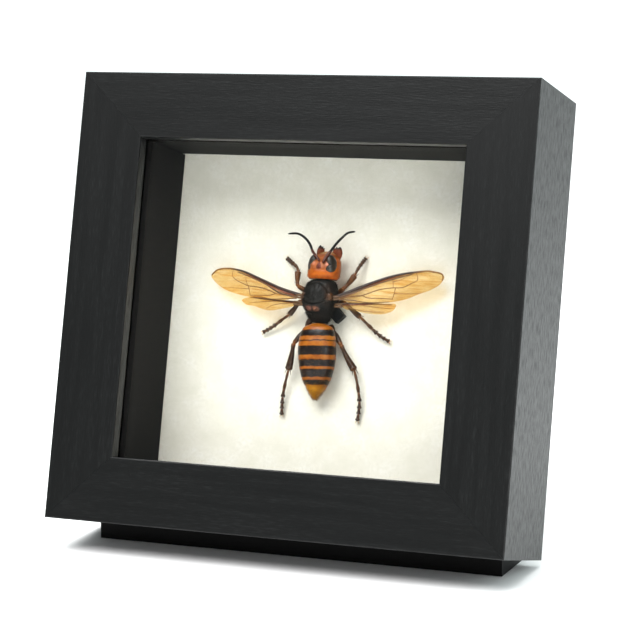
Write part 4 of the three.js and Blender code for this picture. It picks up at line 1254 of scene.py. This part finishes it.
# %% Outlines and veins of the four wings
# root is where a wing leaves the body, high its height there, drop its fall for each mm outwards. A
# vein is its first and last radius, how dark it is, and its points.
WINGS = {
    "fore_left": dict(root=-4.9, high=7.5, drop=.138, outline=[
        (-5, 4.5), (-10.1, 6.2), (-18.1, 9), (-24, 10.9), (-28.7, 11.2), (-31.5, 10.5),
        (-32.7, 9.1), (-30.9, 7), (-28.1, 5.4), (-24.1, 4.2), (-20.6, 3.6), (-13, 3),
        (-7, 3.5)], veins=[
        (.42, .2, 1, [(-4.7, 4.6), (-10.7, 6.15), (-17.2, 8.5), (-23.8, 10.65), (-27.9, 11.05),
                      (-31.2, 10.4), (-32.5, 9.2)]),
        (.26, .12, .8, [(-5.4, 4.0), (-8.3, 4.4), (-11.0, 5.0), (-12.4, 5.6), (-16, 7.4),
                        (-20.5, 9.0), (-24.5, 10.2)]),
        (.17, .1, .45, [(-5.8, 3.8), (-8.3, 4.3), (-12.1, 4.8), (-14.3, 5.6), (-17.8, 6.3),
                        (-21.0, 6.6), (-23.3, 7.4), (-25.0, 8.2), (-26.1, 9.2), (-25.9, 10.6)]),
        (.13, .1, .35, [(-20.8, 6.6), (-20.3, 5.3), (-19.9, 3.9)]),
        (.15, .1, .4, [(-12.1, 4.8), (-13.1, 4.4), (-16.2, 4.1), (-19.9, 4.0)]),
        (.1, .06, .3, [(-20.3, 5.7), (-23.5, 5.8), (-26.8, 5.9)]),
        (.1, .07, .3, [(-21.0, 6.6), (-21.6, 8.0), (-21.9, 9.4)]),
        (.15, .1, .6, [(-5.6, 3.6), (-9, 3.4), (-13, 3.2), (-19, 3.6)])]),
    "hind_left": dict(root=-5.6, high=6.3, drop=.153, outline=[
        (-6, 2.7), (-12, 3.1), (-20.6, 3.7), (-23, 2.6), (-22, 1.8), (-19, 1.2), (-14.3, .2),
        (-10, .9), (-6.3, 2.1)], veins=[
        (.22, .12, .9, [(-5.8, 2.8), (-11.7, 3.0), (-16.6, 3.25), (-20.4, 3.6)]),
        (.12, .07, .3, [(-7.0, 2.4), (-11.0, 2.1), (-13.7, 1.5), (-15.2, .7)]),
        (.1, .07, .3, [(-12.0, 2.8), (-16.0, 2.5), (-20.5, 2.1)])]),
    "fore_right": dict(root=5.9, high=7.5, drop=.138, outline=[
        (5.7, 4.5), (8.1, 5.8), (14.3, 8.8), (20.7, 11.3), (26.2, 12.5), (29.5, 13), (32.4, 12.6),
        (34, 11.6), (33.4, 10.1), (30.9, 8.1), (27.7, 6.7), (24.6, 5.2), (22, 4.4), (14, 3.4),
        (7.6, 3.6)], veins=[
        (.42, .2, 1, [(5.6, 4.6), (8.3, 5.8), (14.3, 8.6), (20.6, 11.05), (26.1, 12.35),
                      (30.8, 12.8), (33.6, 11.9), (33.5, 10.6)]),
        (.26, .12, .8, [(6.2, 4.3), (12.4, 7.0), (17, 8.9), (21.5, 10.5), (25.5, 11.8)]),
        (.17, .1, .45, [(6.4, 4.2), (9.5, 4.9), (12.6, 5.4), (13.9, 5.9), (16.8, 7.1), (20.7, 7.9),
                        (23.0, 8.1), (25.5, 9.4), (27.0, 10.4), (26.6, 12.2)]),
        (.13, .1, .35, [(21.3, 7.9), (21.1, 6.4), (20.7, 4.6)]),
        (.15, .1, .4, [(12.6, 5.3), (13.8, 4.9), (17.0, 4.9), (20.7, 4.9)]),
        (.1, .06, .3, [(21.2, 6.4), (23.8, 6.5), (28.2, 6.9)]),
        (.1, .07, .3, [(20.7, 7.9), (20.6, 9.2), (20.4, 10.2)]),
        (.1, .07, .3, [(20.2, 9.4), (22.5, 10.1), (24.4, 11.2)]),
        (.15, .1, .6, [(6.2, 3.9), (10, 3.9), (14, 3.6), (20, 4.1)])]),
    "hind_right": dict(root=6.2, high=6.3, drop=.153, outline=[
        (6.4, 2.7), (12, 3.2), (18, 3.7), (21.4, 3.4), (20.9, 2.2), (19.2, 1.2), (15.5, .7),
        (11.5, 1.1), (7, 2.1)], veins=[
        (.22, .12, .9, [(5.7, 2.9), (10.7, 3.3), (15.9, 3.5), (20.2, 3.5)]),
        (.12, .07, .3, [(8.4, 2.2), (12.3, 1.4), (18.4, 1.4)]),
        (.1, .07, .3, [(11.5, 2.9), (15.5, 2.6), (20.0, 2.4)])])}
print(len(WINGS), "wings with", sum(len(w["veins"]) for w in WINGS.values()), "veins")

# %% Height and edges of a wing


def wing_height(facts, x, y, top, bottom):
    # A wing slopes down from its root, with four shallow pleats and a slow wave.
    share = np.clip((y - bottom) / np.maximum(top - bottom, 0.3), 0, 1)
    away = np.abs(x - facts["root"])
    pleat = 0.11 * np.sin(share * 4 * np.pi) * np.clip(1 - away / 26, 0, 1)
    return facts["high"] - away * facts["drop"] + pleat + 0.10 * np.sin(away * 0.35) * (share - 0.5)


def wing_edges(outline, xs):
    # The highest and lowest crossing of the closed outline at each x bound the wing there.
    closed = np.asarray(outline + outline[:1], float)
    fine = curve_through(np.column_stack([closed, np.zeros(len(closed))]), 900)[:, :2]
    one = fine[:-1]
    two = fine[1:]
    top = np.empty(len(xs))
    bottom = np.empty(len(xs))
    for n, x in enumerate(xs):
        cross = (one[:, 0] - x) * (two[:, 0] - x) <= 0
        start = one[cross]
        end = two[cross]
        run = np.where(end[:, 0] == start[:, 0], 1, end[:, 0] - start[:, 0])
        ys = start[:, 1] + (x - start[:, 0]) / run * (end[:, 1] - start[:, 1])
        top[n] = ys.max()
        bottom[n] = ys.min()
    return top, bottom, fine


print("the left fore wing reaches x =", min(x for x, _ in WINGS["fore_left"]["outline"]), "mm")

# %% Membranes and veins
COLUMNS, ROWS = 130, 40
BODY_MIDDLE = 0.55
ROOT_RINGS, ROOT_SIDES = 20, 10
VEIN_RINGS, VEIN_SIDES = 60, 8


def lead_marks(behind, reach, front):
    # The rusty band behind the front edge, the dark wing root, and a faint haze past the band.
    band = (1.75 - 1.1 * reach) if front else 0.45 * np.ones_like(reach)
    mark = np.clip((1 - behind / np.maximum(band, 0.2)) * 2.6, 0, 1)
    mark = mark * np.clip((0.78 - reach) * 4, 0, 1)
    mark = np.maximum(mark, 0.55 * np.clip(1 - reach / 0.07, 0, 1))
    haze = 0.3 * np.clip(1 - behind / np.maximum(band * 2.2, 0.4), 0, 1)
    return np.maximum(mark, haze * np.clip((0.95 - reach) * 3, 0, 1))


for wing_name, facts in WINGS.items():
    outline = facts["outline"]
    near_x = outline[0][0]
    _, _, fine = wing_edges(outline, np.array([facts["root"] * 1.5]))
    far_x = fine[np.argmax(np.abs(fine[:, 0])), 0]
    length = abs(far_x - near_x)
    spread = np.sin(np.linspace(0, 1, COLUMNS) * np.pi / 2)
    xs = near_x + (far_x - near_x) * spread * 0.9995
    top, bottom, _ = wing_edges(outline, xs)
    share = np.linspace(0, 1, ROWS)[:, None]
    ys = bottom[None] + (top - bottom)[None] * share
    grid = np.empty((ROWS, COLUMNS, 3))
    grid[..., 0] = xs[None]
    grid[..., 1] = ys
    grid[..., 2] = wing_height(facts, xs[None], ys, top[None], bottom[None])
    reach = np.abs(xs - near_x)[None] / length
    mark = lead_marks(top[None] - ys, reach, wing_name.startswith("fore"))
    sheet = (grid.reshape(-1, 3), grid_faces(ROWS, COLUMNS, wrap=False))
    make_piece(f"membrane_{wing_name}", sheet, [membrane], [f"wing_{wing_name}"],
               marks={"lead": mark.ravel()}, solid=False)
    shapes = []
    marks = []
    for start_r, end_r, depth_mark, route in facts["veins"]:
        flat_route = np.column_stack([np.asarray(route, float), np.zeros(len(route))])
        line = curve_through(flat_route, VEIN_RINGS)
        inside = np.clip(line[:, 0], min(near_x, far_x) + .02, max(near_x, far_x) - .02)
        vein_top, vein_bottom, _ = wing_edges(outline, inside)
        line[:, 2] = wing_height(facts, line[:, 0], line[:, 1], vein_top, vein_bottom) + 0.03
        shapes.append(tube(line, np.linspace(start_r, end_r, VEIN_RINGS), VEIN_SIDES, 0.6))
        fade = np.clip((0.86 - np.abs(line[:, 0] - near_x) / length) * 6, 0.25, 1) * depth_mark
        marks.append(np.concatenate([np.repeat(fade, VEIN_SIDES), fade[:1], fade[-1:]]))
    # Two stout rods carry the wing from the body to its outline.
    side = math.copysign(1, facts["root"])
    body_x = BODY_MIDDLE + side * 3.7
    root_y = outline[0][1]
    for offset, thick in ((0.1, 0.42), (-0.55, 0.34)):
        rod = curve_through([(body_x, root_y + offset * .6, facts["high"] + 0.1),
                             ((body_x + near_x) / 2, root_y + offset - .1, facts["high"] + .2),
                             (near_x + side * 0.8, root_y + offset, facts["high"])], ROOT_RINGS)
        shapes.append(tube(rod, np.linspace(thick, thick * .7, ROOT_RINGS), ROOT_SIDES, 0.7))
        marks.append(np.full(ROOT_RINGS * ROOT_SIDES + 2, 0.75))
    make_piece(f"veins_{wing_name}", join(shapes), [vein_chitin],
               marks={"deep": np.concatenate(marks)})

# %% [markdown]
# ## Down and bristles
# The middle body wears a short dense down that greys its outline, the waist slope a longer one, the
# tip of the abdomen a golden fringe, and the shins and feet dark bristles. The dense part of the
# down is bump in the chitin. The tufts here are the part that breaks the outline.

# %% Hair finishes
# Chitin hairs: dull from afar, since each one mirrors another way, with light and dark tufts.
TUFTS = {"dark_body_down": ("#120f0b", "#2c251b", 0.6),
         "golden_body_down": ("#7a5424", "#c08f4a", 0.5),
         "dark_leg_bristle": ("#1c120b", "#4a3018", 0.45)}
dark_down, golden_down, bristle_horn = [
    mottled_finish(name, (3.0, 3.0, 3.0), [(0.35, dark), (0.65, light)], Roughness=rough, IOR=1.55,
                   Specular_IOR_Level=0.2)
    for name, (dark, light, rough) in TUFTS.items()]
print("hair finishes:", list(TUFTS))

# %% Growing the tufts


def combed(grid, count, allow, seeds, lengths, lift, comb, stray):
    # A tuft rises with the skin, is combed along the body, and strays by chance.
    place, normal, uv = roots_on(grid, count, allow, seeds[0])
    length = np.random.default_rng(seeds[1]).uniform(*lengths, len(place))
    chance = np.random.default_rng(seeds[2]).normal(0, stray, place.shape)
    return place, normal * lift + np.array([0, comb, 0]) + chance, length, uv


place, way, length, uv = combed(trunk_grid, 6500, lambda p: (p[:, 2] > 4.4) & (p[:, 1] < 8.8),
                                (7, 8, 9), (0.6, 1.15), 1.0, -0.7, 0.25)
length = length * np.where(place[:, 1] < 0.4, 0.85, 0.5)
down = make_piece("down_middle_body", spray(place, way, length, 0.032), [dark_down],
                  solid=False)
map_tufts(down, uv)
place, way, length, uv = combed(head_grid, 1500, lambda p: (p[:, 2] > 5.0) & (p[:, 1] > 9.6),
                                (17, 18, 19), (0.2, 0.42), 1.0, 0.4, 0.3)
down = make_piece("down_head", spray(place, way, length, 0.018), [golden_down], solid=False)
map_tufts(down, uv)

# %% The golden fringe of the abdomen
# For each ring: how many tufts, and their shortest and longest length in mm.
FRINGE = [(260, .2, .4), (260, .2, .4), (260, .2, .4),
          (300, .25, .45), (500, .3, .6), (900, .4, .9)]
fringe_parts = []
fringe_maps = []
for n, (count, low, high) in enumerate(FRINGE):
    seed = 21 + n
    place, way, length, uv = combed(ring_grids[n], count, lambda p: p[:, 2] > 2.0,
                                    (seed, seed + 50, seed + 60), (low, high), 0.55, -1.0, .15)
    fringe_parts.append(spray(place, way, length, 0.018))
    fringe_maps.append(np.column_stack([(n + uv[:, 0]) / len(FRINGE), uv[:, 1]]))
fringe = make_piece("down_abdomen", join(fringe_parts), [golden_down], solid=False)
map_tufts(fringe, np.concatenate(fringe_maps))

# %% Bristles of the legs
roots = np.concatenate(bristle_roots)
length = np.random.default_rng(31).uniform(0.22, 0.5, len(roots))
leans = np.concatenate(bristle_leans)
bristles = make_piece("bristles_legs", spray(roots, leans, length, 0.03, 0.15), [bristle_horn],
                      solid=False)
map_tufts(bristles, np.concatenate(bristle_maps))

# %% [markdown]
# # The studio
# The photograph is a bright product shot: white all round, a soft key from above and a little left,
# and a strong, slightly cool side light that turns the right face of the case grey. The front is
# darker, as the room behind a camera is, which keeps the glass clear. The world gives that by
# direction, and large area lights give the shadows their soft shape. The key stands high enough to
# keep its mirror image out of the pane when the case is seen straight from the front.

# %% Floor
# Matt paper in a wide sweep: bright and even, so that only the soft shadow shows.
FLOOR_HALF = 3.0
floor_paper, tree, shader = new_material("white_seamless_paper", Roughness=0.7, IOR=1.45)
grain = add(tree, "ShaderNodeTexNoise", {"Scale": 400.0})
finish_surface(tree, shader, "#f7f7f7", grain, 0.02, 0.2)
sheet = bpy.data.meshes.new("studio_floor")
corners = [(x * FLOOR_HALF, y * FLOOR_HALF, 0) for x, y in ((-1, -1), (1, -1), (1, 1), (-1, 1))]
sheet.from_pydata(corners, [], [(0, 1, 2, 3)])
sheet.materials.append(floor_paper)
floor = bpy.data.objects.new("studio_floor", sheet)
bpy.context.collection.objects.link(floor)
print("a floor of", 2 * FLOOR_HALF, "m")

# %% World light by direction
# Little light comes from the camera's side and much from behind the case. The camera itself sees
# plain white wherever it looks past the case.
IN_FRONT, BEHIND = 0.07, 1.35
world = bpy.data.worlds.new("white_studio")
bpy.context.scene.world = world
world.use_nodes = True
tree = world.node_tree
look = add(tree, "ShaderNodeTexCoord")
parts = add(tree, "ShaderNodeSeparateXYZ", {"Vector": look.outputs["Generated"]})
level = add(tree, "ShaderNodeMapRange", {"Value": parts.outputs["Y"], "From Min": -0.35,
                                         "From Max": 0.35, "To Min": IN_FRONT, "To Max": BEHIND},
            interpolation_type="SMOOTHSTEP")
seen = add(tree, "ShaderNodeLightPath")
white = add(tree, "ShaderNodeMath", {0: seen.outputs["Is Camera Ray"], 1: 1.2},
            operation="MULTIPLY")
strength = add(tree, "ShaderNodeMath", {0: level, 1: white}, operation="MAXIMUM")
plug(tree, tree.nodes["Background"], {"Color": "#f5ffff", "Strength": strength})
print("world light from", IN_FRONT, "in front to", BEHIND, "behind")

# %% Area lights
CASE_MIDDLE = (0, 0, 0.06)


def soft_light(name, place, aim, size, watts, tint="#ffffff"):
    data = bpy.data.lights.new(name, "AREA")
    data.color = colour(tint)[:3]
    data.shape = "RECTANGLE"
    data.size = size[0]
    data.size_y = size[1]
    data.energy = watts
    lamp = bpy.data.objects.new(name, data)
    lamp.location = place
    lamp.rotation_euler = (Vector(aim) - Vector(place)).to_track_quat("-Z", "Y").to_euler()
    bpy.context.collection.objects.link(lamp)
    print(name, "at", place, watts, "W")


soft_light("key_softbox", (-0.2, -0.74, 0.98), CASE_MIDDLE, (0.8, 0.7), 18.5)
soft_light("fill_softbox", (0.6, -0.95, 0.3), CASE_MIDDLE, (0.5, 0.5), 3.5)
soft_light("side_softbox", (0.95, 0.25, 0.45), (0.06, 0, 0.06), (0.5, 0.8), 5.2, "#f1ffff")

# %% Light from the ceiling, and plain colours
sun_data = bpy.data.lights.new("ceiling_bounce", "SUN")
sun_data.energy = 2.2
sun_data.angle = math.radians(70)
sun = bpy.data.objects.new("ceiling_bounce", sun_data)
sun.rotation_euler = (math.radians(14), math.radians(-8), 0)
bpy.context.collection.objects.link(sun)
bpy.context.scene.view_settings.view_transform = "Standard"
bpy.context.scene.view_settings.look = "None"
print("ceiling light", sun_data.energy, "W/m2, spread over", 70, "degrees")
